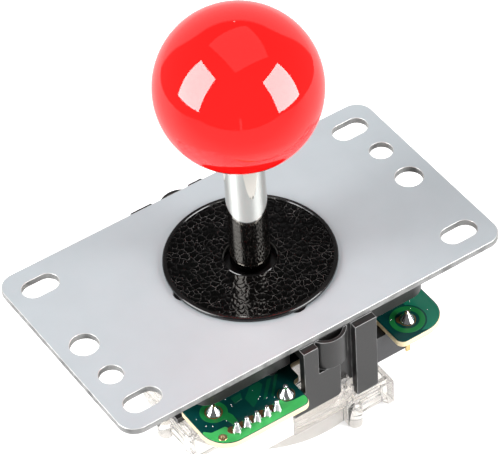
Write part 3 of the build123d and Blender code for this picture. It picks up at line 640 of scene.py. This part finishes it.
# %% Washer body
washer_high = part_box("dust_washer")[1]
washer_r, washer_top = washer_high.x / MM, washer_high.z / MM
washer_hole, rim, rim_round = 5.66, 0.9, 0.4
face_top = washer_top - 0.18
field_z = face_top - 0.25
washer_lift, rim_slope, hole_lip, hole_break = 0.02, 0.22, 0.5, 0.2
washer_profile = (
    [(washer_hole, washer_lift)]
    + arc(washer_r - rim_round, rim_round + washer_lift, rim_round, -90, 0)
    + arc(washer_r - rim_round, washer_top - rim_round, rim_round, 0, 90)
    + [(washer_r - rim, washer_top), (washer_r - rim - rim_slope, field_z),
       (washer_hole + hole_lip, field_z), (washer_hole + hole_break, face_top),
       (washer_hole, face_top - hole_break)]
)
turned("dust_washer", "Dust washer", "base", "washer_black", washer_black, washer_profile, steps=160)

# %% [markdown]
# The face is pressed with leather grain: raised pebbles with narrow valleys between them. A bump could
# fake it, but real relief catches the softboxes better and is part of the mesh itself. A Geometry Nodes
# tree moves each point of a fine ring down by a Voronoi pattern's distance to its cell edge.


# %% Leather grain
def set_input(modifier, tree, label, value):
    """A modifier's input, found by its label and set by its identifier."""
    for item in tree.interface.items_tree:
        if item.item_type == "SOCKET" and item.in_out == "INPUT" and item.name == label:
            modifier[item.identifier] = value


def geometry_tree(name, inputs):
    """A Geometry Nodes tree with geometry in and out and its named inputs."""
    tree = bpy.data.node_groups.new(name, "GeometryNodeTree")
    tree.interface.new_socket("Geometry", in_out="INPUT", socket_type="NodeSocketGeometry")
    for label, kind, value in inputs:
        socket = tree.interface.new_socket(label, in_out="INPUT", socket_type=kind)
        if value is not None:
            socket.default_value = value
    tree.interface.new_socket("Geometry", in_out="OUTPUT", socket_type="NodeSocketGeometry")
    return tree, tree.nodes.new("NodeGroupInput"), tree.nodes.new("NodeGroupOutput")


def apply_tree(piece, tree, values):
    """The tree's result as the piece's own plain mesh."""
    modifier = piece.modifiers.new(tree.name, "NODES")
    modifier.node_group = tree
    for label, value in values.items():
        set_input(modifier, tree, label, value)
    apply_modifiers(piece)


leather, leather_in, leather_out = geometry_tree(
    "Leather grain",
    [("Cell size", "NodeSocketFloat", 0.0012), ("Depth", "NodeSocketFloat", 0.0001),
     ("Bend", "NodeSocketFloat", 0.0008), ("Finish", "NodeSocketMaterial", None)])
place = leather.nodes.new("GeometryNodeInputPosition")
density = maths(leather, "DIVIDE", 1.0, leather_in.outputs["Cell size"])
distance = crease_distance(leather, place.outputs[0], leather_in.outputs["Bend"], density)
slope_width = 0.16
pebble = ramp(leather, distance, 0.0, slope_width, -1.0, 0.0, interpolation_type="SMOOTHSTEP")
lift = leather.nodes.new("ShaderNodeCombineXYZ")
sunk = maths(leather, "MULTIPLY", pebble.outputs["Result"], leather_in.outputs["Depth"])
link(leather, sunk, lift.inputs["Z"])
shift = leather.nodes.new("GeometryNodeSetPosition")
link(leather, leather_in.outputs["Geometry"], shift.inputs["Geometry"])
link(leather, lift.outputs[0], shift.inputs["Offset"])
coat = leather.nodes.new("GeometryNodeSetMaterial")
link(leather, shift.outputs[0], coat.inputs["Geometry"])
link(leather, leather_in.outputs["Finish"], coat.inputs["Material"])
link(leather, coat.outputs[0], leather_out.inputs[0])

grain_step, grain_depth, skirt = 0.2, 0.04, 0.22
ring_low, ring_high = washer_hole + 0.45, washer_r - rim - 0.05
rings = round((ring_high - ring_low) / grain_step)
face_profile = [(ring_low + (ring_high - ring_low) * i / rings, face_top) for i in range(rings + 1)]
face_profile = [(ring_low, face_top - skirt)] + face_profile + [(ring_high, face_top - skirt)]
washer_face = link_piece("Grained washer face",
                         turned_mesh("Grained washer face", face_profile, 480), washer_grained)
apply_tree(washer_face, leather, {"Cell size": cell_size, "Depth": grain_depth * MM,
                                  "Bend": cell_bend, "Finish": washer_grained})
washer_face.data.shade_smooth()
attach(washer_face, "base")
print("grained face", len(washer_face.data.polygons), "faces")

# %% [markdown]
# ## Ball, shaft and the pieces that turn with it
#
# The ball is moulded over a brass insert and polished. It has a small flat where the shaft's shoulder
# meets it. A ready-made sphere would have poles and no hole, so the ball is a profile of one long arc,
# turned round the axis in fine steps, because its outline is what one sees first.

# %% Ball top
ball_low, ball_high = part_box("ball_top")
ball_r = ball_high.x / MM
ball_z = ball_high.z / MM - ball_r
flat_z = ball_low.z / MM
flat_r = math.sqrt(ball_r**2 - (ball_z - flat_z) ** 2)
flat_angle = math.degrees(math.acos(flat_r / ball_r))
insert_low, insert_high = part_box("ball_insert")
entry_r, socket_r = 3.2, 5.0
socket_top, socket_low = insert_high.z / MM, insert_low.z / MM
ball_profile = (
    [(entry_r, flat_z), (flat_r - 0.25, flat_z)]
    + arc(0, ball_z, ball_r, -flat_angle + 1, 90, 72)
    + [(0, socket_top), (socket_r, socket_top), (socket_r, socket_low), (entry_r, socket_low)]
)
turned("ball_top", "Ball top", "lever", "ball_red", ball_red, ball_profile, steps=144)

# %% [markdown]
# The shaft is a turned steel rod, chromed. Below its shoulder a thinner journal passes through the pivot
# and the actuator, and a groove near its end holds the retaining ring. It is lathe work, so its profile
# is turned as well. Small chamfers give each shoulder the bright line that a real one has.

# %% Shaft
shaft_low, shaft_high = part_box("lever_shaft")
shaft_r, journal_r, groove_r, stud_r = 4.375, 3.0, 2.4, 3.0
shoulder_z, chamfer, end_chamfer = -1.35, 0.15, 0.4
ring_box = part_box("retaining_ring")
ring_low_z, ring_high_z = ring_box[0].z / MM - 0.05, ring_box[1].z / MM + 0.05
end_z, tip_z = shaft_low.z / MM, shaft_high.z / MM
shaft_profile = [
    (0, end_z), (journal_r - end_chamfer, end_z), (journal_r, end_z + end_chamfer),
    (journal_r, ring_low_z), (groove_r, ring_low_z), (groove_r, ring_high_z),
    (journal_r, ring_high_z), (journal_r, shoulder_z), (shaft_r - chamfer, shoulder_z),
    (shaft_r, shoulder_z + chamfer), (shaft_r, flat_z - chamfer), (shaft_r - chamfer, flat_z),
    (stud_r, flat_z), (stud_r, tip_z - end_chamfer), (stud_r - end_chamfer, tip_z), (0, tip_z),
]
turned("lever_shaft", "Lever shaft", "lever", "shaft_chrome", shaft_chrome, shaft_profile, steps=96,
       closed=False)

# %% [markdown]
# Under the washer, a black ball on the shaft tilts in a bowl-shaped liner. The spring presses its seat
# up against the housing, which brings the lever back upright, and the cup of the actuator pushes the
# switch levers. All of them are round, so they are turned too. The ball and the liner are arcs about one
# centre, which lets them slide in each other.

# %% Pivot, seat and actuator
pivot_z, pivot_r, sleeve_r = -5.4, 7.0, 3.05
pivot_under, pivot_over = 5.6, 4.0
liner_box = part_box("pivot_liner")
liner_low = liner_box[0].z / MM
inner_r, outer_r = 7.08, 8.18
low_in = math.degrees(math.asin((pivot_z - liner_low) / inner_r))
low_out = math.degrees(math.asin((pivot_z - liner_low) / outer_r))
turned("pivot_liner", "Pivot liner", "pivot_liner", "pivot_black", pivot_black,
       arc(0, pivot_z, outer_r, 0, -low_out, 16) + arc(0, pivot_z, inner_r, -low_in + 4, 0, 16))
turned("pivot_ball", "Pivot ball", "pivot_ball", "pivot_black", pivot_black,
       [(sleeve_r, pivot_z - pivot_under)] + arc(0, pivot_z, pivot_r, -53, 34.8, 24)
       + [(sleeve_r, pivot_z + pivot_over)])
cup_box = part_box("actuator")
cup_r, cup_top, collar_low = cup_box[1].x / MM, cup_box[1].z / MM, cup_box[0].z / MM
cup_base = collar_low + 4.0
collar_r, cup_wall, cup_floor, cup_round, lip, corner = 5.0, 1.0, 1.5, 1.0, 0.2, 0.3
inside_r, inside_z = cup_r - cup_wall, cup_base + cup_floor
turned("actuator", "Actuator", "lever", "actuator_black", actuator_black, [
    (sleeve_r, collar_low), (collar_r - corner, collar_low), (collar_r, collar_low + corner),
    (collar_r, cup_base - corner), (collar_r + corner, cup_base), (cup_r - cup_round, cup_base),
    (cup_r - 0.75, cup_base + 0.1), (cup_r - 0.1, cup_base + 0.75), (cup_r, cup_base + cup_round),
    (cup_r, cup_top - lip), (cup_r - lip, cup_top), (inside_r + lip, cup_top),
    (inside_r, cup_top - lip), (inside_r, inside_z + corner), (inside_r - corner, inside_z),
    (sleeve_r, inside_z)])
seat_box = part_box("spring_seat")
seat_low, seat_high = seat_box[0].z / MM, seat_box[1].z / MM
seat_r, skirt_r, seat_bore, seat_floor = 6.3, 5.8, 4.87, 1.4
turned("spring_seat", "Spring seat", "pivot_ball", "pivot_black", pivot_black, [
    (skirt_r, seat_low), (seat_r - chamfer, seat_low), (seat_r, seat_low + chamfer),
    (seat_r, seat_high), (seat_bore, seat_high), (seat_bore, seat_high - seat_floor),
    (skirt_r, seat_high - seat_floor)])

# %% [markdown]
# ## Return spring
#
# Real springs end in nearly flat, closed coils. A Screw modifier would make an even helix, so the wire
# is a line of points whose rise is small over the first and last share of its turns. A curve with a
# round bevel gives it thickness. Spring and seat sit round the shaft and tilt with it.

# %% Return spring
spring_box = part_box("return_spring")
wire = 0.45
coil_r = spring_box[1].x / MM - wire
low_z, high_z = spring_box[0].z / MM + wire, spring_box[1].z / MM - wire
turns, per_turn = 6.0, 36
spring_curve = bpy.data.curves.new("Return spring", "CURVE")
spring_curve.dimensions = "3D"
spring_curve.bevel_depth = wire * MM
spring_curve.bevel_resolution = 4
spring_curve.use_fill_caps = True
wire_line = spring_curve.splines.new("POLY")
count = round(turns * per_turn)
wire_line.points.add(count)
end_share = 0.14
end_rise = wire * 2.05 / 1.4
for i in range(count + 1):
    share = i / count
    eased = min(max((share - end_share) / (1 - 2 * end_share), 0), 1)
    rise = end_rise * (min(share, end_share) + max(share - (1 - end_share), 0)) / end_share
    body_rise = (high_z - low_z - 2 * end_rise) * eased
    angle = 2 * math.pi * turns * share
    wire_line.points[i].co = (coil_r * math.cos(angle) * MM, coil_r * math.sin(angle) * MM,
                              (low_z + rise + body_rise) * MM, 1)
spring_mesh = curve_mesh(spring_curve)
spring_mesh.shade_smooth()
spring = link_piece("Return spring", spring_mesh, spring_steel)
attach(spring, "pivot_ball")
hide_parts("return_spring")
print("spring", turns, "turns,", len(spring.data.polygons), "faces")

# %% [markdown]
# ## Moulded pieces with softened edges
#
# The housing, switches, header and gate are mouldings: no edge on them is sharp. Copies of the CAD
# solids keep their exact places, and a Bevel modifier rounds each edge by about a tenth of a
# millimetre before it is applied. Clamping would shrink every rounding to fit the shortest edge of the
# whole piece, so the black and clear mouldings go without it.

# %% Housing and gate
CRISP = {"angle": 40, "clamp": False}
# The roundings wear the edge finishes: painted highlight on the black housing, painted shade on the
# clear gate and insert.
softened("main_housing", "Housing", "base", "housing_black", housing_black, 0.09, housing_edge_highlight, **CRISP)
softened("restrictor_gate", "Restrictor gate", "base", "gate_clear", gate_clear, 0.1, gate_edge_shade, **CRISP)
softened("gate_insert", "Gate insert", "base", "gate_clear", gate_clear, 0.1, gate_edge_shade, **CRISP)
softened("retaining_ring", "Retaining ring", "lever", "spring_steel", spring_steel, 0.08)
softened("connector_header", "Pin header", "base", "header_white", header_white, 0.12)

# %% [markdown]
# Four lever switches stand round the actuator, each a moulded case with a red plunger under a swinging
# steel lever. One loop makes them alike. Each lever rides its own body, so that it follows the actuator
# in every pose. The plungers keep their CAD meshes and only get their finish.

# %% Switches
sides = ("front", "right", "back", "left")
for side in sides:
    # Each case's roundings wear the painted highlight finish.
    softened(f"switch_case_{side}", f"Switch case {side}", "base", "switch_black", switch_black,
             0.1, switch_edge_highlight, **CRISP)
    softened(f"switch_lever_{side}", f"Switch lever {side}", f"switch_lever_{side}",
             "spring_steel", spring_steel, 0.05)
    nodes[f"switch_plunger_{side}"].data.materials.clear()
    nodes[f"switch_plunger_{side}"].data.materials.append(plunger_red)
print("switches", len(sides))

# %% [markdown]
# ## Circuit board
#
# The board is laminate with a green mask. Where copper lies under the mask it is a brighter green
# and stands a hair higher, so the copper areas are thin pieces of their own on a darker base. The cut
# edge shows the cream laminate, and a fine chamfer makes it read as a pale line. Front and back are the
# same outline turned by half a turn.

# %% Board outline
board_low, board_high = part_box("circuit_board")
board_top, board_under = board_high.z / MM, board_low.z / MM
reach_x, short_y, long_y = board_high.x / MM, 30.2, board_high.y / MM
notch_l, notch_r, notch_y, notch_x = -7.0, 17.2, 25.0, 24.4
step_x, step_y = -5.0, 20.8
board_bore_r, lead_r, post_r, pin_r, anchor_r, via_r = 13.5, 0.65, 1.05, 0.5, 0.6, 0.35
board_chamfer, mask_upward = 0.28, 0.8


def half_turn(points):
    """The same points turned by half a turn."""
    return [(-x, -y) for x, y in points]


front_half = [
    (-reach_x, -long_y), (notch_l, -long_y), (notch_l, -notch_y), (step_x, -notch_y),
    (step_x, -step_y), (notch_r, -step_y), (notch_r, -short_y), (reach_x, -short_y),
    (reach_x, notch_l), (notch_x, notch_l), (notch_x, notch_r), (reach_x, notch_r)]
board_corners = front_half + half_turn(front_half)
front_radii = [6, 1.8, 1.0, 1.0, 1.0, 1.0, 1.8, 6, 1.8, 1.0, 1.0, 1.8]
board_outline = rounded_outline(board_corners, front_radii + front_radii, 8)


def quarter_turns(x, y):
    """A point and its copies turned by a quarter, a half and three quarters of a turn."""
    return [(x, y), (-y, x), (-x, -y), (y, -x)]


outer_pads, inner_pads = quarter_turns(22.5, -25.1), quarter_turns(7.0, -17.9)
post_places, anchor_place = quarter_turns(-9.0, -19.0), (-10.2, -27.3)
pads = outer_pads + inner_pads + [anchor_place]
header_x, header_y, pin_pitch = -19.0, -29.6, 2.5
pin_places = [(header_x + pin_pitch * k, header_y) for k in (-2, -1, 0, 1, 2)]
via_places = [(-27.4, -29.4), (27.4, 29.4)]
board_holes = [round_hole(0, 0, board_bore_r, 96)]
board_holes += [round_hole(x, y, lead_r, 16) for x, y in outer_pads + inner_pads]
board_holes += [round_hole(x, y, post_r, 20) for x, y in post_places]
board_holes += [round_hole(x, y, pin_r, 16) for x, y in pin_places]
board_holes += [round_hole(*anchor_place, anchor_r, 16)]
board_holes += [round_hole(x, y, via_r, 16) for x, y in via_places]
board_mesh = flat_mesh("Circuit board", [board_outline] + board_holes, board_under, board_top,
                       board_chamfer, 1)
board = link_piece("Circuit board", board_mesh, board_edge)
board.data.materials.append(mask_green)
for face in board.data.polygons:
    if abs(face.normal.z) > mask_upward:
        face.material_index = 1
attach(board, "base")
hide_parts("circuit_board")
print("board", len(board.data.polygons), "faces")

# %% [markdown]
# The widest copper lies round the header's pins and again at the back. It could be painted on by an
# image, but an outline keeps its edge crisp at any distance, and its tiny step catches the light.


# %% Copper under the mask
copper_foot, copper_edge, pin_gap_r = 0.03, 0.015, 0.95


def on_board(name, outlines, material, rise=0.05):
    """A thin piece of copper under its mask, that lies on the board."""
    mesh = flat_mesh(name, outlines, board_top - copper_foot, board_top + rise, copper_edge, 1)
    piece = link_piece(name, mesh, material)
    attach(piece, "base")
    print(name, len(mesh.polygons), "faces")


header_copper = rounded_outline(
    [(-30.15, -31.95), (-7.25, -31.95), (-7.25, -29.6), (-9.9, -29.6), (-11.5, -29.1),
     (-12.0, -27.9), (-25.0, -28.1), (-25.4, -27.2), (-28.6, -27.0), (-30.15, -25.4)],
    [5.8, 1.6, 0.3, 0.8, 0.5, 0.3, 0.3, 0.4, 0.8, 0.3], 10)
pin_holes = [round_hole(x, y, pin_gap_r, 20) for x, y in pin_places]
on_board("Copper by the header",
         [header_copper, round_hole(*via_places[0], pin_gap_r, 24)] + pin_holes, copper_green)
far_copper = half_turn(rounded_outline(
    [(-30.15, -31.95), (-7.25, -31.95), (-7.25, -29.6), (-28.6, -27.0), (-30.15, -25.4)],
    [5.8, 1.6, 0.3, 0.8, 0.3], 10))
on_board("Copper at the back", [far_copper, round_hole(*via_places[1], pin_gap_r, 24)], copper_green)

# %% [markdown]
# Rings of copper stand round the four outer pads, narrow tracks lead away from them, and wide fills take
# up two corners. They are made like the copper before, each in its own shade of the mask; the tracks'
# darker green is painted shade where the plate shades the board. The back repeats the front by half a
# turn.

# %% Rings, tracks and fills
wide_ring, narrow_ring = (2.65, 3.85), (1.95, 2.95)
track_rise, fill_rise = 0.045, 0.03
for number, (x, y) in enumerate(outer_pads):
    ring_in, ring_out = wide_ring if number in (0, 1) else narrow_ring
    on_board(f"Copper ring {number}", [round_hole(x, y, ring_out, 56), round_hole(x, y, ring_in, 48)],
             ring_green)
tracks = [
    [(-24.9, -25.2), (-24.1, -25.9), (-23.6, -28.3), (-22.4, -28.3), (-22.3, -25.4), (-23.0, -23.6),
     (-24.0, -24.9)],
    [(-20.2, -21.4), (-20.2, -23.2), (-18.3, -22.9), (-17.6, -21.3)],
    [(-17.8, -23.2), (-17.7, -26.4), (-15.4, -24.9), (-12.6, -22.1), (-12.8, -21.0), (-15.2, -21.1)],
    [(-14.9, -25.7), (-14.2, -25.9), (-9.9, -21.5), (-11.1, -21.5)],
    [(-13.1, -26.0), (-12.5, -26.2), (-8.2, -21.4), (-9.1, -21.4)],
]
# Tracks after the first take the darker green, which is painted shade.
for number, corners in enumerate(tracks):
    shape = rounded_outline(corners, 0.2, 20)
    mask_colour = shaded_track_green if number else ring_green
    on_board(f"Track {number}", [shape], mask_colour, track_rise)
    on_board(f"Track {number} at the back", [half_turn(shape)], mask_colour, track_rise)

# The fill lies beyond a pad's ring, bitten by a circle round the pad, and ends in the board's corner.
bite_r, bend_r = 4.25, 5.5
bite = arc(*outer_pads[0], bite_r, -84, 60, 24)
inner_edge = [(24.7, -12.0), (30.1, -12.0)]
bend = arc(24.6, -24.4, bend_r, 0, -90, 10)
corner_fill = bite + inner_edge + bend
on_board("Corner fill", [corner_fill], fill_green, fill_rise)
on_board("Corner fill at the back", [half_turn(corner_fill)], fill_green, fill_rise)
print("rings", len(outer_pads), "tracks", 2 * len(tracks))

# %% [markdown]
# ## Solder joints
#
# A good joint is a concave cone: the solder climbs the lead and spreads on its pad. The same joint
# occurs many times, so Geometry Nodes place one turned cone on a list of points.

# %% Repeating on points
repeat_tree, repeat_in, repeat_out = geometry_tree(
    "Repeat on points",
    [("Unit", "NodeSocketObject", None), ("Least size", "NodeSocketFloat", 0.94),
     ("Most size", "NodeSocketFloat", 1.06), ("Seed", "NodeSocketInt", 4),
     ("Finish", "NodeSocketMaterial", None)])
unit = repeat_tree.nodes.new("GeometryNodeObjectInfo")
link(repeat_tree, repeat_in.outputs["Unit"], unit.inputs["Object"])
spread_sizes = add(repeat_tree, "FunctionNodeRandomValue", data_type="FLOAT")
spread_angle = add(repeat_tree, "FunctionNodeRandomValue", data_type="FLOAT")
link(repeat_tree, repeat_in.outputs["Least size"], spread_sizes.inputs[2])
link(repeat_tree, repeat_in.outputs["Most size"], spread_sizes.inputs[3])
link(repeat_tree, repeat_in.outputs["Seed"], spread_sizes.inputs["Seed"])
spread_angle.inputs[3].default_value = 2 * math.pi
link(repeat_tree, repeat_in.outputs["Seed"], spread_angle.inputs["Seed"])
spin = repeat_tree.nodes.new("ShaderNodeCombineXYZ")
link(repeat_tree, spread_angle.outputs[1], spin.inputs["Z"])
put = repeat_tree.nodes.new("GeometryNodeInstanceOnPoints")
link(repeat_tree, repeat_in.outputs["Geometry"], put.inputs["Points"])
link(repeat_tree, unit.outputs["Geometry"], put.inputs["Instance"])
link(repeat_tree, spin.outputs[0], put.inputs["Rotation"])
link(repeat_tree, spread_sizes.outputs[1], put.inputs["Scale"])
real = repeat_tree.nodes.new("GeometryNodeRealizeInstances")
link(repeat_tree, put.outputs[0], real.inputs[0])
coat = repeat_tree.nodes.new("GeometryNodeSetMaterial")
link(repeat_tree, real.outputs[0], coat.inputs["Geometry"])
link(repeat_tree, repeat_in.outputs["Finish"], coat.inputs["Material"])
link(repeat_tree, coat.outputs[0], repeat_out.inputs[0])


def repeated(name, places, height, unit_mesh, material, body, least=1.0, most=1.0, seed=4,
             crease=40):
    """One mesh repeated on points, as one plain piece."""
    maker = bpy.data.objects.new(name + " unit", unit_mesh)
    scene.collection.objects.link(maker)
    mesh = bpy.data.meshes.new(name)
    mesh.from_pydata([(x * MM, y * MM, height * MM) for x, y in places], [], [])
    piece = link_piece(name, mesh, material)
    apply_tree(piece, repeat_tree, {"Unit": maker, "Least size": least, "Most size": most,
                                    "Seed": seed, "Finish": material})
    bpy.data.objects.remove(maker)
    smooth(piece.data, crease)
    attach(piece, body)
    print(name, len(places), "copies,", len(piece.data.polygons), "faces")
    return piece


# %% [markdown]
# Large joints hold the switches' terminals and small ones the header's pins. Round them lie brown flux,
# dull pad rings and a few stray specks of solder, which make a board look hand soldered. All are turned
# shapes placed by the same tree, with a fixed seed, so that every run gives the same board.


# %% Joints
def solder_profile(radius, height, tip):
    """A concave cone from the pad up to the lead."""
    points = [(radius, 0), (radius, 0.05)]
    for i in range(1, 9):
        share = i / 8
        points.append((tip + (radius - tip) * (1 - share) ** 1.25, 0.05 + height * share**0.85))
    return [(0, 0)] + points + [(tip * 0.6, height + 0.22), (0, height + 0.3)]


joint_height = 2.3
large_foot, large_tip, small_foot, small_tip = 1.75, 0.34, 1.12, 0.42
large_joint = turned_mesh("Large joint", solder_profile(large_foot, joint_height, large_tip), 24,
                          closed=False)
switch_joints = repeated("Switch joints", pads, board_top + 0.02, large_joint, solder, "base",
                         0.95, 1.03)
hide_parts("switch_solder")
small_joint = turned_mesh("Small joint", solder_profile(small_foot, joint_height, small_tip), 20,
                          closed=False)
header_joints = repeated("Header joints", pin_places, board_top + 0.02, small_joint, solder, "base",
                         0.95, 1.03, 7)
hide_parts("header_solder")
flux_places = [(x - 0.75, y + 0.75) for x, y in pin_places] + [(21.3, -24.4)]
repeated("Flux spots", flux_places, board_top + 0.03, turned_mesh(
    "Flux spot", [(0, 0), (0.98, 0), (0.94, 0.05), (0.7, 0.09), (0, 0.1)], 14, closed=False),
    flux_brown, "base", 0.85, 1.15, 11)
repeated("Pad rings", pads, board_top + 0.01, turned_mesh(
    "Pad ring", [(0, 0), (1.9, 0), (1.88, 0.04), (0, 0.06)], 32, closed=False),
    flux_brown, "base")
speck_places = [
    (-21.2, -21.0), (-21.0, -22.9), (-21.1, -23.4), (-15.0, -24.6), (-15.6, -25.0), (-14.0, -25.8),
    (-12.7, -26.6), (-28.5, -24.8), (-27.4, -25.7), (-29.1, -22.1), (-24.3, -26.1), (-15.3, -22.2),
    (27.6, -25.3), (26.0, -21.1), (25.0, -22.9), (19.6, -23.1), (21.0, 22.9), (-19.8, 24.0)]
repeated("Solder specks", speck_places, board_top + 0.04, turned_mesh(
    "Solder speck", arc(0, 0, 0.13, -90, 90, 6), 10, closed=False), solder, "base",
    0.6, 1.2, 3)
repeated("Via rings", via_places, board_top, turned_mesh(
    "Via ring", [(0.36, 0), (0.95, 0), (0.9, 0.07), (0.45, 0.08), (0.36, 0.02)], 32),
    copper_pad, "base")

# %% [markdown]
# Pins, screws, terminals, the board's anchor and the ball's insert are small or hidden. Their CAD meshes
# are good enough at this size, so they keep them and only get their finish.

# %% Small metal pieces
for node, material in (("header_pins", pin_tin), ("board_anchor", pin_tin),
                       ("switch_terminals", terminal_brass), ("plate_screws", screw_black),
                       ("ball_insert", terminal_brass)):
    nodes[node].data.materials.clear()
    nodes[node].data.materials.append(material)
    print(node, material.name)

# %% [markdown]
# ## Studio
#
# The floor is a sheet of white paper, and the ball mirrors where it ends. Two softboxes stand left
# and right of the camera: they are what the ball reflects. A wide soft panel hangs overhead. The room
# itself is bright behind the lever and dim behind the camera, which gives the ball its pale rim and
# its deep red middle. Places are given by how far they lie away from the camera and to its right.

# %% Directions in the studio
level_way = Vector((forward.x, forward.y, 0)).normalized()
side_way = Vector((level_way.y, -level_way.x, 0))
ball_centre = Vector((0, 0, ball_z * MM))


def toward(ahead, aside, up):
    """A direction given by how far it leads away from the camera, to its right, and up."""
    return (level_way * ahead + side_way * aside + Vector((0, 0, up))).normalized()


def reach_along(tree, source, way):
    """How far a vector reaches along one direction."""
    node = add(tree, "ShaderNodeVectorMath", operation="DOT_PRODUCT")
    node.inputs[1].default_value = way
    link(tree, source, node.inputs[0])
    return node.outputs["Value"]


print("away from the camera", [round(v, 2) for v in level_way])

# %% [markdown]
# Paper in a studio is brightest round the object and falls off towards the camera. The camera sees all
# of it as plain white, but the ball shows the fall-off. So mirror rays meet a second, dimmer shader:
# wholly from as high as the ball, and by less than half from just above the paper. Rays that pass
# through the clear gate still meet the bright paper.

# %% Paper floor
floor_mesh = bpy.data.meshes.new("Studio floor")
floor_z = cad_low.z - 0.05 * MM
paper = [(-0.30, -0.36), (-0.32, 0.39), (0.0, 0.38), (0.15, 0.27), (0.6, 0.27), (0.6, -0.26),
         (0.15, -0.26), (0.0, -0.32)]
corners = [level_way * ahead + side_way * aside for ahead, aside in paper]
floor_mesh.from_pydata([(spot.x, spot.y, floor_z) for spot in corners], [], [range(len(paper))])
floor_white = finish("Studio floor", (0.93, 0.93, 0.93), 0.8, variation=0.0, depth=0.0,
                     Emission_Color=(1, 1, 1, 1), Emission_Strength=0.32)
tree = floor_white.node_tree
rays = tree.nodes.new("ShaderNodeLightPath")
near_ray, far_ray, near_dimming = 0.055, 0.095, 0.4
far_off = ramp(tree, rays.outputs["Ray Length"], near_ray, far_ray, near_dimming)
reflected = maths(tree, "SUBTRACT", rays.outputs["Is Glossy Ray"], rays.outputs["Is Transmission Ray"],
                  clamp=True)
dimmed = maths(tree, "MULTIPLY", far_off.outputs["Result"], reflected)
where = tree.nodes.new("ShaderNodeTexCoord")
dim_front, bright_back, dim_from = 0.53, 0.9, -0.12
behind = reach_along(tree, where.outputs["Object"], level_way)
fall_off = ramp(tree, behind, dim_from, 0.0, dim_front, bright_back)
mirrored = tree.nodes.new("ShaderNodeEmission")
link(tree, fall_off.outputs["Result"], mirrored.inputs["Strength"])
either = tree.nodes.new("ShaderNodeMixShader")
link(tree, dimmed, either.inputs["Fac"])
link(tree, tree.nodes["Principled BSDF"].outputs[0], either.inputs[1])
link(tree, mirrored.outputs[0], either.inputs[2])
link(tree, either.outputs[0], tree.nodes["Material Output"].inputs["Surface"])
floor = link_piece("Studio floor", floor_mesh, floor_white)
print("paper with", len(paper), "corners")

# %% [markdown]
# The two softboxes are set by what the ball shows: their windows in it give their directions and their
# shapes. The small light behind only adds a few sparks on the washer's grain and the chrome.


# %% Lights
def softbox(name, centre, target, width, height, power):
    """A rectangular light at one place, facing another."""
    data = bpy.data.lights.new(name, "AREA")
    data.shape = "RECTANGLE"
    data.size, data.size_y = width, height
    data.energy = power
    lamp = bpy.data.objects.new(name, data)
    scene.collection.objects.link(lamp)
    lamp.location = centre
    lamp.rotation_euler = (target - centre).to_track_quat("-Z", "Y").to_euler()
    print(name, power, "W")


softbox_distance, back_distance = 1.1, 1.5
left_way, right_way = toward(-0.33, -0.85, 0.42), toward(-0.42, 0.86, 0.29)
back_way = toward(0.75, 0.01, 0.66)
softbox("Left softbox", ball_centre + left_way * softbox_distance, ball_centre, 0.72, 1.03, 31)
softbox("Right softbox", ball_centre + right_way * softbox_distance, ball_centre, 0.72, 0.96, 29)
over_lever = ball_centre + Vector((0.26, 0.13, 0))
softbox("Overhead panel", over_lever + Vector((0, 0, 1.45)), over_lever, 1.45, 1.55, 3.5)
softbox("Back light", ball_centre + back_way * back_distance, ball_centre, 0.05, 0.025, 0.03)

# %% [markdown]
# The room is only a direction-by-direction brightness. A white paper backdrop rises behind the lever;
# the ball mirrors it as a pale rim with a rounded top. Everything else above the floor is dim.

# %% Room
world = bpy.data.worlds.new("Studio room")
scene.world = world
world.use_nodes = True
tree = world.node_tree
background = tree.nodes["Background"]
direction = tree.nodes.new("ShaderNodeTexCoord")
ahead, aside, up = (reach_along(tree, direction.outputs["Generated"], way)
                    for way in (level_way, side_way, Vector((0, 0, 1))))
never_zero = maths(tree, "MAXIMUM", ahead, 0.02)
half_width, straight_height = 0.75, 0.42


def beyond(share, limit):
    """The square of how far a share lies past a limit, and nothing before it."""
    past = maths(tree, "MAXIMUM", maths(tree, "SUBTRACT", share, limit), 0.0)
    return maths(tree, "POWER", past, 2.0)


to_side = maths(tree, "ABSOLUTE", maths(tree, "DIVIDE", aside, never_zero))
to_top = maths(tree, "DIVIDE", up, never_zero)
outside = maths(tree, "ADD", beyond(to_side, half_width), beyond(to_top, straight_height))
backdrop_light, room_light, fade_from, fade_to = 0.77, 0.16, 0.08, 0.2
room = ramp(tree, outside, fade_from, fade_to, backdrop_light, room_light,
            interpolation_type="SMOOTHSTEP")
rays = tree.nodes.new("ShaderNodeLightPath")
seen = maths(tree, "MAXIMUM", room.outputs["Result"], rays.outputs["Is Camera Ray"])
link(tree, seen, background.inputs["Strength"])
background.inputs["Color"].default_value = (1, 1, 1, 1)
scene.view_settings.view_transform = "Standard"
print("studio", len(bpy.data.lights), "lights")
